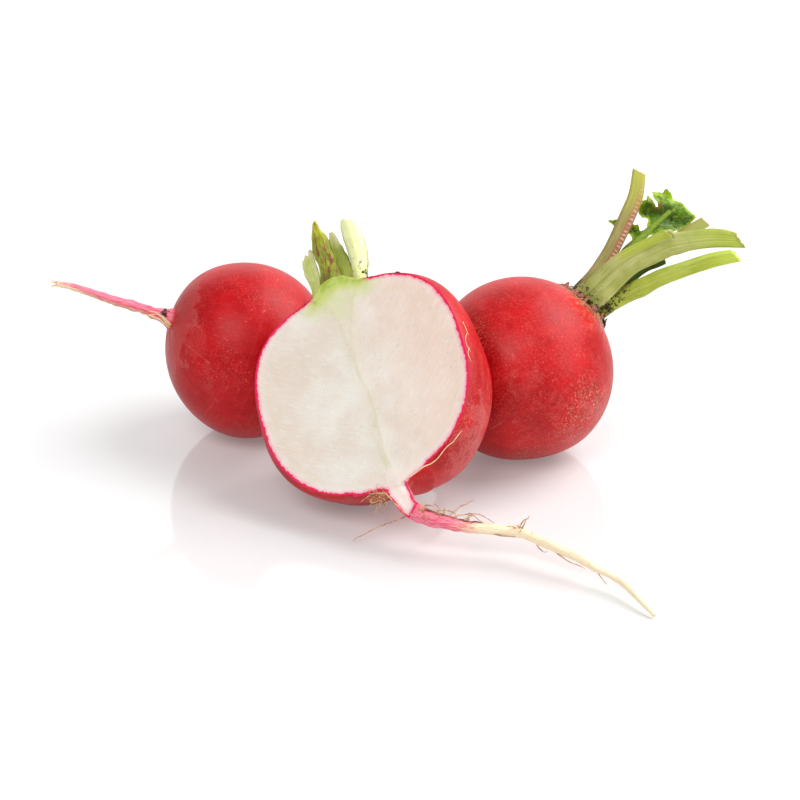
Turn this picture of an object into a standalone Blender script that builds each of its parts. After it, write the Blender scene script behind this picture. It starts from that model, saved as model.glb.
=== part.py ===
"""A loose bunch of three radishes: two whole roots and one root cut in half lengthwise.

Lengths are in millimetres until a mesh is made, when MM turns them into metres. +Z is up, the bunch's long side
runs along X, and it is looked at from -Y. Every root keeps its taproot and its cropped leaf stalks.
"""

import math

import bmesh
import bpy
from mathutils import Vector, noise

MM = 0.001

# The middle of the bunch's base box, in the layout that the numbers below are drawn in. It becomes the origin.
BASE_MIDDLE = Vector((-0.9, -13.0, 0.0))

# Towards the place that the bunch is looked at from. Flat stalks turn their broad side to it.
VIEWER = Vector((0.0, -0.9135, 0.4067))

BULB_SIDES = 28
BULB_RINGS = 18
STALK_SIDES = 10
STALK_RINGS = 9
SHARP_ANGLE = math.radians(40)

SKIN = (0.62, 0.03, 0.06)
FLESH = (0.88, 0.86, 0.76)
STALK_GREEN = (0.50, 0.58, 0.20)
PALE_GREEN = (0.66, 0.72, 0.36)
LEAF_GREEN = (0.13, 0.33, 0.05)

# Gentle lumps of a grown surface. Beyond the bulb they lose this share of their height over each radius.
LUMP_HEIGHT = 0.30
LUMP_SIZE = 15.0
LUMP_LOSS = 0.6

# Side roots, which lose this share of their thickness towards the tip.
ROOTLET_THICKNESS = 0.42
ROOTLET_TAPER = 0.45
ROOTLET_SIDES = 4

# The left bulb: a radius about a centre, with its root end along an axis.
LEFT_RADIUS = 15.3
LEFT_CENTRE = Vector((-27.25, 14.5, 15.0))
LEFT_AXIS = Vector((-0.90, -0.153, 0.418)).normalized()
LEFT_CROWN_RADIUS = 3.4
LEFT_ROOT_RADIUS = 3.2

# It is squat: its outer end is pressed in along this direction by a share of its length. Over a last share of the
# radius outside the bulb the press fades out, so that the taproot keeps its place.
LEFT_SQUAT_SIDE = Vector((-0.98, -0.08, -0.18)).normalized()
LEFT_SQUAT = 0.13
LEFT_SQUAT_FADE = 0.14

# Where it draws in to its taproot: distance from the centre and radius. Then the taproot: x, y, z and radius.
LEFT_NECK = ((15.4, 2.0), (16.0, 1.45))
LEFT_TAIL = (
    (-41.7, 11.9, 23.3, 1.20), (-43.6, 11.1, 24.2, 0.98), (-46.0, 10.4, 25.1, 0.85), (-48.6, 9.7, 26.2, 0.68),
    (-51.4, 9.1, 27.5, 0.60), (-54.2, 8.5, 28.8, 0.55), (-56.6, 8.0, 29.7, 0.50), (-58.2, 7.6, 30.2, 0.45),
)
LEFT_TAIL_RINGS = 10
LEFT_FIBRES = (
    ((-39.6, 10.2, 21.3), (-40.7, 10.1, 22.9), (-41.8, 10.4, 23.7), (-43.2, 10.7, 23.9)),
    ((-57.6, 7.8, 29.9), (-58.8, 7.6, 30.7), (-59.6, 7.4, 31.1)),
)

# Its stalk stubs: place to the side and up on the crown, length and half width.
LEFT_STALKS = ((-1.6, 0.6, 8.5, 1.15), (1.5, 0.9, 7.0, 1.25), (0.1, -1.8, 6.0, 1.0))
LEFT_STALK_SPREAD = 0.35
LEFT_STALK_FLATNESS = 0.62

# The right bulb, in the same way. It is a little more pointed to its root.
RIGHT_RADIUS = 15.8
RIGHT_CENTRE = Vector((20.7, 5.5, 15.2))
RIGHT_AXIS = Vector((-0.683, -0.386, -0.620)).normalized()
RIGHT_CROWN_RADIUS = 4.4
RIGHT_ROOT_RADIUS = 3.6
RIGHT_TAPER = 0.10

# Its taproot, which lies hidden behind the half: x, y, z and radius.
RIGHT_TAIL = (
    (9.7, -0.8, 5.2, 2.2), (8.5, -1.6, 4.2, 1.45), (6.6, -2.4, 3.0, 1.15), (4.0, -2.8, 2.0, 0.95),
    (1.0, -2.8, 1.4, 0.80), (-2.4, -2.2, 1.1, 0.62), (-6.0, -1.0, 0.9, 0.45),
)
RIGHT_TAIL_RINGS = 8

# Where the right bulb and the half face each other, both are flattened at this distance from their middles, with a
# soft edge. Beyond so many radii from the middle there is only taproot, which isn't moved.
RIGHT_REACH = 13.9
HALF_REACH = 17.4
SOFT_EDGE = 0.8
RIGHT_BULB_END = 1.02
HALF_BULB_END = 1.12

# The half lies tilted back. Its cut face is a plane through HALF_CENTRE that faces HALF_FRONT.
HALF_RADIUS = 19.3
HALF_CENTRE = Vector((-6.2, -15.9, 21.6))
HALF_FRONT = Vector((-0.40, -0.69, 0.60)).normalized()
HALF_AXIS = Vector((0.26, -0.72, -0.65))
HALF_AXIS = (HALF_AXIS - HALF_FRONT * HALF_AXIS.dot(HALF_FRONT)).normalized()
HALF_ACROSS = HALF_AXIS.cross(HALF_FRONT)
HALF_LENGTH = 17.9          # from the middle of the cut face to either end of the bulb
HALF_WIDEN = 1.03           # the bulb is this much wider than it is deep
HALF_OFFSET = 0.171         # the widest plane lies this share of the radius behind the cut
HALF_FRONT_DEPTH = 0.51     # what the cut took away was this deep, as a share of the radius
HALF_BACK_DEPTH = 0.97
HALF_MIDDLE = (-0.3, -0.1, -3.3)            # the whole bulb's middle: across, along and out from the cut face
HALF_CROWN_ANGLE = math.radians(13)         # where its first section is, seen from its middle
HALF_ROOT_ANGLE = math.radians(161)         # and its last
HALF_CROWN_BLUNTNESS = 2.8                  # 2 gives a round end, and more a blunter one
HALF_ROOT_BLUNTNESS = 2.2
HALF_RINGS = 20
HALF_CUT_STEPS = 8                          # sides of each section that lie in the cut face

# Behind its taproot and to its right the bulb hangs further down. Most of that is reached at this depth behind the
# cut. The start is the share of it right below the root, and the power keeps it away from the crown.
HALF_HANG = 3.2
HALF_HANG_DEPTH = 6.0
HALF_HANG_START = 0.3
HALF_HANG_POWER = 1.5

# Its underside sags to the surface, within a cone around straight down that has this cosine.
HALF_SAG = 1.1
HALF_SAG_CONE = 0.88
HALF_SAG_POWER = 1.3

# Corners this near to the cut plane stay flat in it, and the lumps start this far behind it.
CUT_FACE_DEPTH = 0.05
LUMP_DEPTH = 1.0

# The half's crown between its stalks: ring radius and place along the axis.
CROWN_DOME = ((0.9, -19.9), (2.2, -19.5), (3.4, -18.8), (4.7, -18.2))

# Where the bulb draws in to its taproot: place along the axis, ring radius, and how much of the bulb's section is left.
HALF_NECK = ((17.7, 5.0, 0.9), (18.2, 3.5, 0.6), (18.7, 2.5, 0.3))

# The half's taproot: x, y, z, radius, and 0 where it is cut in half to 1 where it is whole.
HALF_TAIL = (
    (-0.5, -29.9, 9.7, 1.75, 0.0), (0.3, -30.9, 8.9, 1.65, 0.0), (1.1, -32.1, 7.9, 1.50, 0.0),
    (2.9, -33.2, 6.9, 1.38, 0.5), (5.1, -33.7, 6.2, 1.25, 1.0), (7.9, -34.4, 5.8, 1.10, 1.0),
    (10.5, -35.1, 5.5, 1.00, 1.0), (13.3, -35.4, 5.4, 0.92, 1.0), (16.0, -35.8, 5.3, 0.85, 1.0),
    (18.8, -36.1, 5.1, 0.85, 1.0), (21.4, -37.9, 4.8, 0.75, 1.0), (25.7, -40.9, 4.1, 0.70, 1.0),
    (28.2, -42.5, 3.6, 0.64, 1.0), (30.5, -44.8, 3.1, 0.56, 1.0), (32.9, -46.3, 2.6, 0.48, 1.0),
    (35.2, -48.9, 2.1, 0.48, 1.0), (37.0, -52.3, 1.5, 0.42, 1.0), (39.2, -55.8, 0.5, 0.30, 1.0),
)
HALF_TAIL_RINGS = 26
HALF_ROOTLETS = (
    ((1.8, -33.4, 6.9), (-0.8, -31.0, 4.5), (-3.6, -28.6, 2.2), (-7.4, -30.0, 0.5)),
    ((-0.6, -30.3, 8.8), (-4.2, -29.0, 8.5), (-6.3, -28.5, 6.5)),
    ((3.6, -33.6, 6.8), (4.0, -34.5, 9.0), (5.7, -35.6, 9.2), (6.6, -34.2, 6.4)),
    ((9.7, -35.0, 5.8), (11.2, -34.7, 7.4), (12.4, -35.0, 7.0), (13.7, -35.2, 5.6)),
    ((18.6, -36.1, 5.2), (19.6, -35.1, 6.4), (20.8, -37.1, 8.4)),
    ((21.0, -37.6, 4.8), (22.2, -38.8, 3.4), (23.4, -38.3, 2.6)),
    ((23.7, -39.5, 4.4), (25.3, -41.2, 3.4), (27.3, -41.7, 2.4), (29.2, -41.5, 1.6)),
)

# The half's stalk stubs: places across, along and out from the cut face, half widths left and right, and half
# thickness; then the groove and the slant of the cut end.
HALF_STALKS = (
    ("half_stalk_a", ((-4.8, -19.6, -1.9, 1.2, 1.2, 1.2), (-5.0, -22.7, -1.8, 1.5, 1.6, 1.4),
                      (-5.1, -25.7, -1.8, 1.6, 1.6, 1.4), (-4.8, -28.6, -1.9, 1.4, 1.5, 1.3),
                      (-4.5, -30.2, -2.0, 1.2, 1.2, 1.2)), 0.0, 0.3),
    ("half_stalk_b", ((-2.5, -20.8, -1.4, 0.8, 0.8, 1.0), (-2.4, -23.6, -1.3, 0.9, 0.9, 1.0),
                      (-2.1, -26.2, -1.3, 0.8, 0.9, 0.9), (-1.9, -28.4, -1.4, 0.6, 0.7, 0.7)), 0.5, -0.2),
    ("half_stalk_c", ((0.4, -20.8, -1.3, 1.3, 1.3, 1.1), (0.5, -24.7, -1.2, 1.5, 1.5, 1.1),
                      (0.6, -28.0, -1.2, 1.3, 1.4, 1.0), (0.6, -29.8, -1.3, 0.9, 1.0, 0.8),
                      (0.6, -31.2, -1.4, 0.4, 0.4, 0.5)), 0.6, 0.0),
    ("half_stalk_d", ((4.2, -19.5, -1.3, 0.9, 0.9, 0.8), (3.7, -22.6, -1.2, 1.2, 1.1, 0.8),
                      (3.7, -25.2, -1.2, 1.1, 1.2, 0.7), (3.2, -27.0, -1.3, 0.6, 0.6, 0.6)), 0.6, -0.3),
)
HALF_STALK_RIBS = 0.05

# The right root's stalks: where each stands on the crown, then its half widths and half thickness; then its route
# in x, y, z with the same three measures.
RIGHT_STALKS = (
    ("right_stalk_1", (-2.2, 0.9, 1.1, 1.1, 1.0), (
        (33.2, 13.6, 29.2, 1.3, 1.3, 1.1), (35.8, 15.4, 32.5, 1.35, 1.35, 1.1),
        (37.5, 17.0, 35.4, 1.35, 1.4, 1.1), (39.1, 18.6, 38.5, 1.35, 1.4, 1.0),
        (40.5, 20.2, 41.6, 1.3, 1.3, 1.0), (41.1, 21.9, 45.1, 1.2, 1.1, 0.9),
    ), {"groove": 0.3, "slant": 0.25, "rings": 11}),
    ("right_stalk_2", (-0.1, -2.4, 2.7, 2.6, 1.0), (
        (33.5, 9.1, 28.1, 2.6, 2.4, 1.05), (35.4, 9.5, 29.9, 2.45, 2.3, 1.05),
        (39.0, 10.0, 33.0, 2.1, 2.0, 1.0), (42.7, 10.2, 35.0, 2.05, 2.1, 0.95),
        (45.4, 10.3, 36.3, 2.15, 2.1, 0.9), (46.8, 10.3, 36.6, 1.75, 2.0, 0.85),
        (49.4, 10.1, 37.1, 1.65, 1.65, 0.8), (53.1, 9.8, 37.6, 1.6, 1.6, 0.75),
        (57.2, 9.2, 37.6, 1.2, 1.35, 0.6),
    ), {"groove": 0.55, "ribs": 0.04, "slant": 0.8, "sides": 14, "rings": 16}),
    ("right_stalk_3", (3.0, 0.5, 1.1, 1.2, 1.0), (
        (35.9, 10.4, 25.3, 1.3, 1.4, 1.1), (37.6, 10.4, 26.5, 1.4, 1.5, 1.1),
        (40.2, 10.1, 28.2, 1.45, 1.55, 1.1), (42.5, 9.7, 29.5, 1.45, 1.45, 1.1),
        (44.8, 9.3, 30.8, 1.45, 1.4, 1.1), (48.8, 8.6, 32.7, 1.3, 1.35, 1.0),
        (52.7, 7.9, 34.3, 1.3, 1.3, 0.95), (56.6, 7.2, 35.5, 1.1, 1.15, 0.8),
    ), {"groove": 0.35, "slant": 0.6, "rings": 12}),
    ("right_stalk_4", (0.7, 3.1, 0.75, 0.75, 0.65), (
        (36.4, 14.3, 26.3, 0.8, 0.8, 0.7), (38.9, 15.3, 28.7, 0.85, 0.85, 0.75),
        (44.7, 17.3, 32.6, 0.9, 0.9, 0.8), (49.9, 18.9, 35.5, 1.0, 1.0, 0.8),
        (52.6, 19.8, 36.8, 1.0, 1.0, 0.7),
    ), {"groove": 0.4, "slant": 0.3, "sides": 8}),
    ("right_leaf_stub", (2.3, 2.4, 0.55, 0.55, 0.45), (
        (36.3, 12.2, 25.6, 0.6, 0.6, 0.5), (38.8, 12.2, 28.0, 0.7, 0.7, 0.5),
        (41.8, 12.5, 30.4, 0.8, 0.8, 0.5), (45.2, 12.8, 32.1, 0.9, 0.9, 0.4),
    ), {"groove": 0.6, "slant": 0.0, "sides": 8}),
)

# How far below the bulb's radius the stalks start, so that they stand just above the flat of the crown.
CROWN_SINK = 0.2

# The leaf's stalk, as those above, and its blade: the blade's two ends, then for each place along its midrib the
# reach to the left and to the right, and how much the lobe leans forward.
LEAF_STALK = ((-1.1, 3.5, 0.7, 0.7, 0.6), (
    (35.2, 16.1, 27.2, 0.75, 0.75, 0.65), (36.9, 17.0, 29.4, 0.75, 0.75, 0.65),
    (39.2, 18.3, 32.3, 0.7, 0.7, 0.6), (42.2, 19.8, 34.3, 0.6, 0.6, 0.55),
    (44.0, 21.0, 35.7, 0.5, 0.5, 0.5), (46.7, 22.6, 37.7, 0.4, 0.4, 0.4),
))
LEAF_BLADE_START = Vector((39.2, 18.4, 32.3))
LEAF_BLADE_END = Vector((48.0, 23.3, 38.4))
LEAF_EDGE = (
    (0.6, 0.7, 0.7, 0.0), (1.8, 2.0, 0.8, -0.4), (2.6, 5.6, 1.0, -0.36), (3.6, 3.4, 1.1, -0.2), (4.3, 1.0, 1.5, 0.0),
    (5.0, 1.1, 2.0, 0.0), (5.8, 3.6, 2.4, 0.0), (7.0, 4.5, 2.9, 0.05), (8.2, 4.7, 3.3, 0.08), (8.9, 2.2, 3.5, 0.0),
    (9.3, 2.0, 3.6, 0.0), (9.8, 4.5, 3.6, 0.02), (10.8, 3.3, 3.7, 0.02), (11.8, 3.7, 3.7, 0.02), (12.5, 0.9, 3.7, 0.0),
)
LEAF_STEPS = (1.0, 0.72, 0.4, 0.0, -0.4, -0.72, -1.0)
LEAF_THICKNESS = 0.62
LEAF_WAVE = 0.45            # height of the waves, which are flat within LEAF_WAVE_START of the midrib
LEAF_WAVE_START = 2.0
LEAF_WAVE_ALONG = 1.3       # how fast the waves turn along the blade and across it, in radians a millimetre
LEAF_WAVE_ACROSS = 0.9
LEAF_FOLD = 0.12            # both sides fold back by this share of their reach


def clear_scene():
    for old in list(bpy.data.objects):
        bpy.data.objects.remove(old, do_unlink=True)


def plain_material(name, colour, roughness):
    material = bpy.data.materials.new(name)
    material.use_nodes = True
    shader = material.node_tree.nodes["Principled BSDF"]
    shader.inputs["Base Color"].default_value = (*colour, 1.0)
    shader.inputs["Roughness"].default_value = roughness
    shader.inputs["Metallic"].default_value = 0.0
    return material


def clamp(value):
    """The value, kept between 0 and 1."""
    return min(1.0, max(0.0, value))


def half_point(across, along, out):
    """A point of the half, from the middle of its cut face: along runs to the root, out to the viewer."""
    return HALF_CENTRE + HALF_ACROSS * across + HALF_AXIS * along + HALF_FRONT * out


def smooth_route(points, count):
    """Even steps along a smooth curve through the points, which may also carry values beside x, y and z."""
    rows = [tuple(point) for point in points]
    rows = [rows[0]] + rows + [rows[-1]]
    route = []
    for step in range(count):
        place = step / (count - 1) * (len(rows) - 3)
        span = min(int(place), len(rows) - 4)
        t = place - span
        row = []
        for before, start, end, after in zip(*rows[span:span + 4]):
            bend = 2 * before - 5 * start + 4 * end - after
            twist = 3 * (start - end) + after - before
            row.append(start + 0.5 * t * (end - before + t * (bend + t * twist)))
        route.append(row)
    return route


def frames_along(points, side, first_tangent=None):
    """At each point, three directions: across the route and near side's, out of the front, and along the route."""
    frames = []
    for i in range(len(points)):
        ahead = points[min(i + 1, len(points) - 1)]
        behind = points[max(i - 1, 0)]
        tangent = (ahead - behind).normalized()
        if i == 0 and first_tangent is not None:
            tangent = first_tangent
        across = (side - tangent * side.dot(tangent)).normalized()
        frames.append((across, across.cross(tangent), tangent))
        side = across
    return frames


def link(name, mesh, material):
    mesh.materials.clear()
    mesh.materials.append(material)
    mesh.shade_smooth()
    mesh.set_sharp_from_angle(angle=SHARP_ANGLE)
    body = bpy.data.objects.new(name, mesh)
    PARTS.objects.link(body)
    return body


def loft(name, rings, material):
    """A closed skin over rings of points in millimetres, each with as many points."""
    shape = bmesh.new()
    rows = [[shape.verts.new((point - BASE_MIDDLE) * MM) for point in ring] for ring in rings]
    sides = len(rows[0])
    for near, far in zip(rows, rows[1:]):
        for i in range(sides):
            j = (i + 1) % sides
            shape.faces.new((near[i], near[j], far[j], far[i]))
    shape.faces.new(rows[0][::-1])
    shape.faces.new(rows[-1])
    bmesh.ops.recalc_face_normals(shape, faces=shape.faces)
    bmesh.ops.triangulate(shape, faces=shape.faces)
    mesh = bpy.data.meshes.new(name)
    shape.to_mesh(mesh)
    shape.free()
    return link(name, mesh, material)


def tube(name, stations, sides, material):
    """A round rod with closed ends through stations, each a point and a radius in millimetres."""
    curve = bpy.data.curves.new(name, "CURVE")
    curve.dimensions = "3D"
    curve.twist_mode = "MINIMUM"
    curve.bevel_depth = MM
    curve.bevel_resolution = sides // 2 - 2
    curve.use_fill_caps = True
    spline = curve.splines.new("POLY")
    spline.points.add(len(stations) - 1)
    for knot, (point, radius) in zip(spline.points, stations):
        knot.co = (*(point - BASE_MIDDLE) * MM, 1.0)
        knot.radius = radius
    guide = bpy.data.objects.new(name + "_guide", curve)
    bpy.context.scene.collection.objects.link(guide)
    graph = bpy.context.evaluated_depsgraph_get()
    mesh = bpy.data.meshes.new_from_object(guide.evaluated_get(graph))
    bpy.data.objects.remove(guide)
    shape = bmesh.new()
    shape.from_mesh(mesh)
    bmesh.ops.remove_doubles(shape, verts=shape.verts, dist=0.001 * MM)
    bmesh.ops.recalc_face_normals(shape, faces=shape.faces)
    bmesh.ops.triangulate(shape, faces=shape.faces)
    shape.to_mesh(mesh)
    shape.free()
    return link(name, mesh, material)


def join(body, extras):
    """Unites the extras with the body in one closed solid."""
    group = bpy.data.collections.new(body.name + "_joined")
    bpy.context.scene.collection.children.link(group)
    for extra in extras:
        PARTS.objects.unlink(extra)
        group.objects.link(extra)
    union = body.modifiers.new("join", "BOOLEAN")
    union.operation = "UNION"
    union.operand_type = "COLLECTION"
    union.collection = group
    graph = bpy.context.evaluated_depsgraph_get()
    joined = bpy.data.meshes.new_from_object(body.evaluated_get(graph))
    body.modifiers.remove(union)
    body.data = joined
    for extra in extras:
        bpy.data.objects.remove(extra)
    bpy.data.collections.remove(group)


def move_points(body, rule):
    """Moves every corner of a body by a rule from a point in millimetres to the new point."""
    for corner in body.data.vertices:
        corner.co = (rule(corner.co / MM + BASE_MIDDLE) - BASE_MIDDLE) * MM


def flatten_base(body):
    """Cuts off what lies below the surface that the bunch rests on."""
    shape = bmesh.new()
    shape.from_mesh(body.data)
    everything = shape.verts[:] + shape.edges[:] + shape.faces[:]
    bmesh.ops.bisect_plane(shape, geom=everything, plane_co=(0, 0, 0), plane_no=(0, 0, -1), clear_outer=True)
    rim = [edge for edge in shape.edges if edge.is_boundary]
    bmesh.ops.holes_fill(shape, edges=rim)
    bmesh.ops.triangulate(shape, faces=shape.faces)
    shape.to_mesh(body.data)
    shape.free()


def lumpy(point, centre, radius):
    """Pushes a point of a bulb out or in a little, and less beyond the bulb, on the thin taproot."""
    offset = point - centre
    height = LUMP_HEIGHT * noise.noise(point / LUMP_SIZE)
    return point + offset.normalized() * height * clamp(1 - LUMP_LOSS * (offset.length / radius - 1))


def flattened(point, centre, towards, reach):
    """Keeps a point from going further than reach from the centre towards a neighbour."""
    excess = (point - centre).dot(towards) - reach
    push = SOFT_EDGE * math.log1p(math.exp(min(excess / SOFT_EDGE, 30.0)))
    return point - towards * push


def bulb_stations(centre, axis, radius, crown_radius, root_radius, taper=0.0):
    """Points and radii down a turned bulb, from its crown to where the taproot starts."""
    first = math.asin(crown_radius / radius)
    last = math.pi - math.asin(root_radius / radius)
    stations = []
    for ring in range(BULB_RINGS):
        angle = first + (last - first) * ring / (BULB_RINGS - 1)
        towards_root = max(0.0, -math.cos(angle))
        girth = radius * math.sin(angle) * (1 - taper * towards_root ** 2 * math.sin(angle))
        stations.append((centre - axis * radius * math.cos(angle), girth))
    return stations


def tail_stations(tail, rings):
    return [(Vector(row[:3]), row[3]) for row in smooth_route(tail, rings)]


def rootlets(body, routes):
    """Grows fine side roots on a body, thinner to their tips."""
    grown = []
    for number, route in enumerate(routes, start=1):
        stations = []
        for i, point in enumerate(route):
            share = 1 - ROOTLET_TAPER * i / (len(route) - 1)
            stations.append((Vector(point), ROOTLET_THICKNESS / 2 * share))
        grown.append(tube(f"{body.name}_rootlet_{number}", stations, ROOTLET_SIDES, body.data.materials[0]))
    join(body, grown)


def stalk_rings(route, start_tangent, groove=0.45, ribs=0.0, slant=0.0, sides=STALK_SIDES, rings=STALK_RINGS):
    """Sections of a leaf stalk: rounded behind, grooved in front, ribbed lengthwise, with a slanted cut end.

    Each row of the route is x, y, z, the half width to the left and to the right, and the half thickness.
    """
    rows = smooth_route(route, rings)
    centres = [Vector(row[:3]) for row in rows]
    side = start_tangent.cross(VIEWER)
    result = []
    for i, (row, frame) in enumerate(zip(rows, frames_along(centres, side, start_tangent))):
        across, front, tangent = frame
        ring = []
        for k in range(sides):
            angle = 2 * math.pi * k / sides
            width = row[4] if math.cos(angle) > 0 else row[3]
            depth = row[5] * math.sin(angle)
            if depth > 0:
                depth *= 1 - groove * math.sin(angle) ** 2
            ridge = 1 + ribs * math.cos(angle * sides / 2)
            point = centres[i] + across * width * math.cos(angle) * ridge + front * depth * ridge
            if i == rings - 1:
                point += tangent * slant * math.cos(angle) * width
            ring.append(point)
        result.append(ring)
    return result


def make_left_root():
    stations = bulb_stations(LEFT_CENTRE, LEFT_AXIS, LEFT_RADIUS, LEFT_CROWN_RADIUS, LEFT_ROOT_RADIUS)
    stations += [(LEFT_CENTRE + LEFT_AXIS * distance, radius) for distance, radius in LEFT_NECK]
    stations += tail_stations(LEFT_TAIL, LEFT_TAIL_RINGS)
    root = tube("left_root", stations, BULB_SIDES, RED_SKIN)

    def settle(point):
        offset = point - LEFT_CENTRE
        fade = clamp((1 - offset.length / LEFT_RADIUS) / LEFT_SQUAT_FADE + 1)
        squeeze = LEFT_SQUAT * fade * max(0.0, offset.dot(LEFT_SQUAT_SIDE))
        return lumpy(point - LEFT_SQUAT_SIDE * squeeze, LEFT_CENTRE, LEFT_RADIUS)

    move_points(root, settle)
    rootlets(root, LEFT_FIBRES)
    flatten_base(root)


def make_left_stalks():
    crown = -LEFT_AXIS
    level = crown.cross(Vector((0, 0, 1))).normalized()
    upright = level.cross(crown)
    for number, (side, rise, length, width) in enumerate(LEFT_STALKS, start=1):
        place = level * side + upright * rise
        start = LEFT_CENTRE + crown * (LEFT_RADIUS + 0.1) + place
        end = start + crown * length + place * LEFT_STALK_SPREAD
        measures = (width, width, width * LEFT_STALK_FLATNESS)
        route = [(*start.lerp(end, share), *measures) for share in (0, 0.5, 1)]
        loft(f"left_stalk_{number}", stalk_rings(route, crown, slant=0.4, rings=5), GREEN_STALK)


def make_right_root():
    stations = bulb_stations(RIGHT_CENTRE, RIGHT_AXIS, RIGHT_RADIUS, RIGHT_CROWN_RADIUS, RIGHT_ROOT_RADIUS,
                             RIGHT_TAPER)
    stations += tail_stations(RIGHT_TAIL, RIGHT_TAIL_RINGS)
    root = tube("right_root", stations, BULB_SIDES, RED_SKIN)
    towards_half = (half_point(*HALF_MIDDLE) - RIGHT_CENTRE).normalized()

    def settle(point):
        if (point - RIGHT_CENTRE).length > RIGHT_RADIUS * RIGHT_BULB_END:
            return point
        point = lumpy(point, RIGHT_CENTRE, RIGHT_RADIUS)
        return flattened(point, RIGHT_CENTRE, towards_half, RIGHT_REACH)

    move_points(root, settle)
    flatten_base(root)


def crown_place(side, deep):
    """A point just above the right root's crown: side runs down to the right, deep away from the viewer."""
    crown = -RIGHT_AXIS
    down_right = crown.cross(VIEWER).normalized()
    away = crown.cross(down_right)
    return RIGHT_CENTRE + crown * (RIGHT_RADIUS - CROWN_SINK) + down_right * side + away * deep


def crown_route(base, route):
    """A stalk's route, with its start on the crown added."""
    side, deep, *measures = base
    return [(*crown_place(side, deep), *measures), *route]


def make_right_stalks():
    for name, base, route, options in RIGHT_STALKS:
        loft(name, stalk_rings(crown_route(base, route), -RIGHT_AXIS, **options), GREEN_STALK)


def leaf_blade_rows():
    """Points across the leaf's blade, row by row along its midrib, and the direction out of its front."""
    along = (LEAF_BLADE_END - LEAF_BLADE_START).normalized()
    across = along.cross(VIEWER).normalized()
    front = across.cross(along)
    rows = []
    for place, left, right, lean in LEAF_EDGE:
        row = []
        for step in LEAF_STEPS:
            reach = step * (left if step > 0 else right)
            swing = math.sin(place * LEAF_WAVE_ALONG + reach * LEAF_WAVE_ACROSS)
            height = LEAF_WAVE * swing * clamp(abs(reach) / LEAF_WAVE_START) - LEAF_FOLD * abs(reach)
            point = LEAF_BLADE_START + along * (place + lean * abs(reach)) - across * reach + front * height
            row.append(point)
        rows.append(row)
    return rows, front


def sheet(name, rows, lift, material):
    """A closed sheet around rows of points, with both faces split into triangles alike."""
    shape = bmesh.new()
    top, bottom = ([[shape.verts.new((point + shift - BASE_MIDDLE) * MM) for point in row] for row in rows]
                   for shift in (lift, -lift))
    last_row = len(rows) - 1
    last_step = len(rows[0]) - 1
    for side in (top, bottom):
        for i in range(last_row):
            for j in range(last_step):
                a, b, c, d = side[i][j], side[i][j + 1], side[i + 1][j + 1], side[i + 1][j]
                shape.faces.new((a, b, c))
                shape.faces.new((a, c, d))
    rim = [(i, 0) for i in range(last_row)] + [(last_row, j) for j in range(last_step)]
    rim += [(i, last_step) for i in range(last_row, 0, -1)] + [(0, j) for j in range(last_step, 0, -1)]
    for (i, j), (k, m) in zip(rim, rim[1:] + rim[:1]):
        shape.faces.new((top[i][j], top[k][m], bottom[k][m], bottom[i][j]))
    bmesh.ops.recalc_face_normals(shape, faces=shape.faces)
    mesh = bpy.data.meshes.new(name)
    shape.to_mesh(mesh)
    shape.free()
    return link(name, mesh, material)


def make_leaf():
    """The cropped leaf: a lobed, waved blade on both sides of its midrib, fused to its stalk."""
    rings = stalk_rings(crown_route(*LEAF_STALK), -RIGHT_AXIS, groove=0.3, rings=12)
    stalk = loft("right_leaf", rings, GREEN_LEAF)
    rows, front = leaf_blade_rows()
    join(stalk, [sheet("right_leaf_blade", rows, front * LEAF_THICKNESS / 2, GREEN_LEAF)])


def half_rings():
    """Sections of the half from its crown to the tip of its taproot."""
    rows = []
    for girth, along in CROWN_DOME:
        rows.append((half_point(0.0, along, 0.0), girth, 0.0, 1.0))
    for ring in range(HALF_RINGS):
        angle = HALF_CROWN_ANGLE + (HALF_ROOT_ANGLE - HALF_CROWN_ANGLE) * ring / (HALF_RINGS - 1)
        power = 2 / (HALF_CROWN_BLUNTNESS if angle < math.pi / 2 else HALF_ROOT_BLUNTNESS)
        along = -HALF_LENGTH * math.copysign(abs(math.cos(angle)) ** power, math.cos(angle))
        rows.append((half_point(0.0, along, 0.0), HALF_RADIUS * math.sin(angle) ** power, 0.0, 1.0))
    for along, girth, bulb in HALF_NECK:
        rows.append((half_point(0.0, along, 0.0), girth, 0.0, bulb))
    for x, y, z, girth, whole in smooth_route(HALF_TAIL, HALF_TAIL_RINGS):
        rows.append((Vector((x, y, z)), girth, max(0.0, whole), 0.0))
    edge = math.asin(HALF_OFFSET / HALF_FRONT_DEPTH)
    back_steps = BULB_SIDES - HALF_CUT_STEPS
    angles = [edge + (math.pi - 2 * edge) * i / HALF_CUT_STEPS for i in range(HALF_CUT_STEPS)]
    angles += [math.pi - edge + (math.pi + 2 * edge) * i / back_steps for i in range(back_steps)]
    rings = []
    for (centre, girth, whole, bulb), frame in zip(rows, frames_along([row[0] for row in rows], HALF_ACROSS)):
        across, front, tangent = frame
        rootness = max(0.0, (centre - HALF_CENTRE).dot(HALF_AXIS) / HALF_LENGTH) ** HALF_HANG_POWER
        ring = []
        for angle in angles:
            x = girth * math.cos(angle) * (1 + (HALF_WIDEN - 1) * bulb)
            depth_share = HALF_FRONT_DEPTH if math.sin(angle) > 0 else HALF_BACK_DEPTH
            depth_share = 1 + (depth_share - 1) * bulb
            out = girth * (depth_share * math.sin(angle) - HALF_OFFSET * bulb)
            if out > 0:
                out *= whole
            behind = 1 - math.exp(min(0.0, out) / HALF_HANG_DEPTH)
            hang = HALF_HANG * bulb * rootness * clamp(HALF_HANG_START - math.cos(angle)) * behind
            ring.append(centre + across * x + front * out + tangent * hang)
        rings.append(ring)
    return rings


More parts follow.
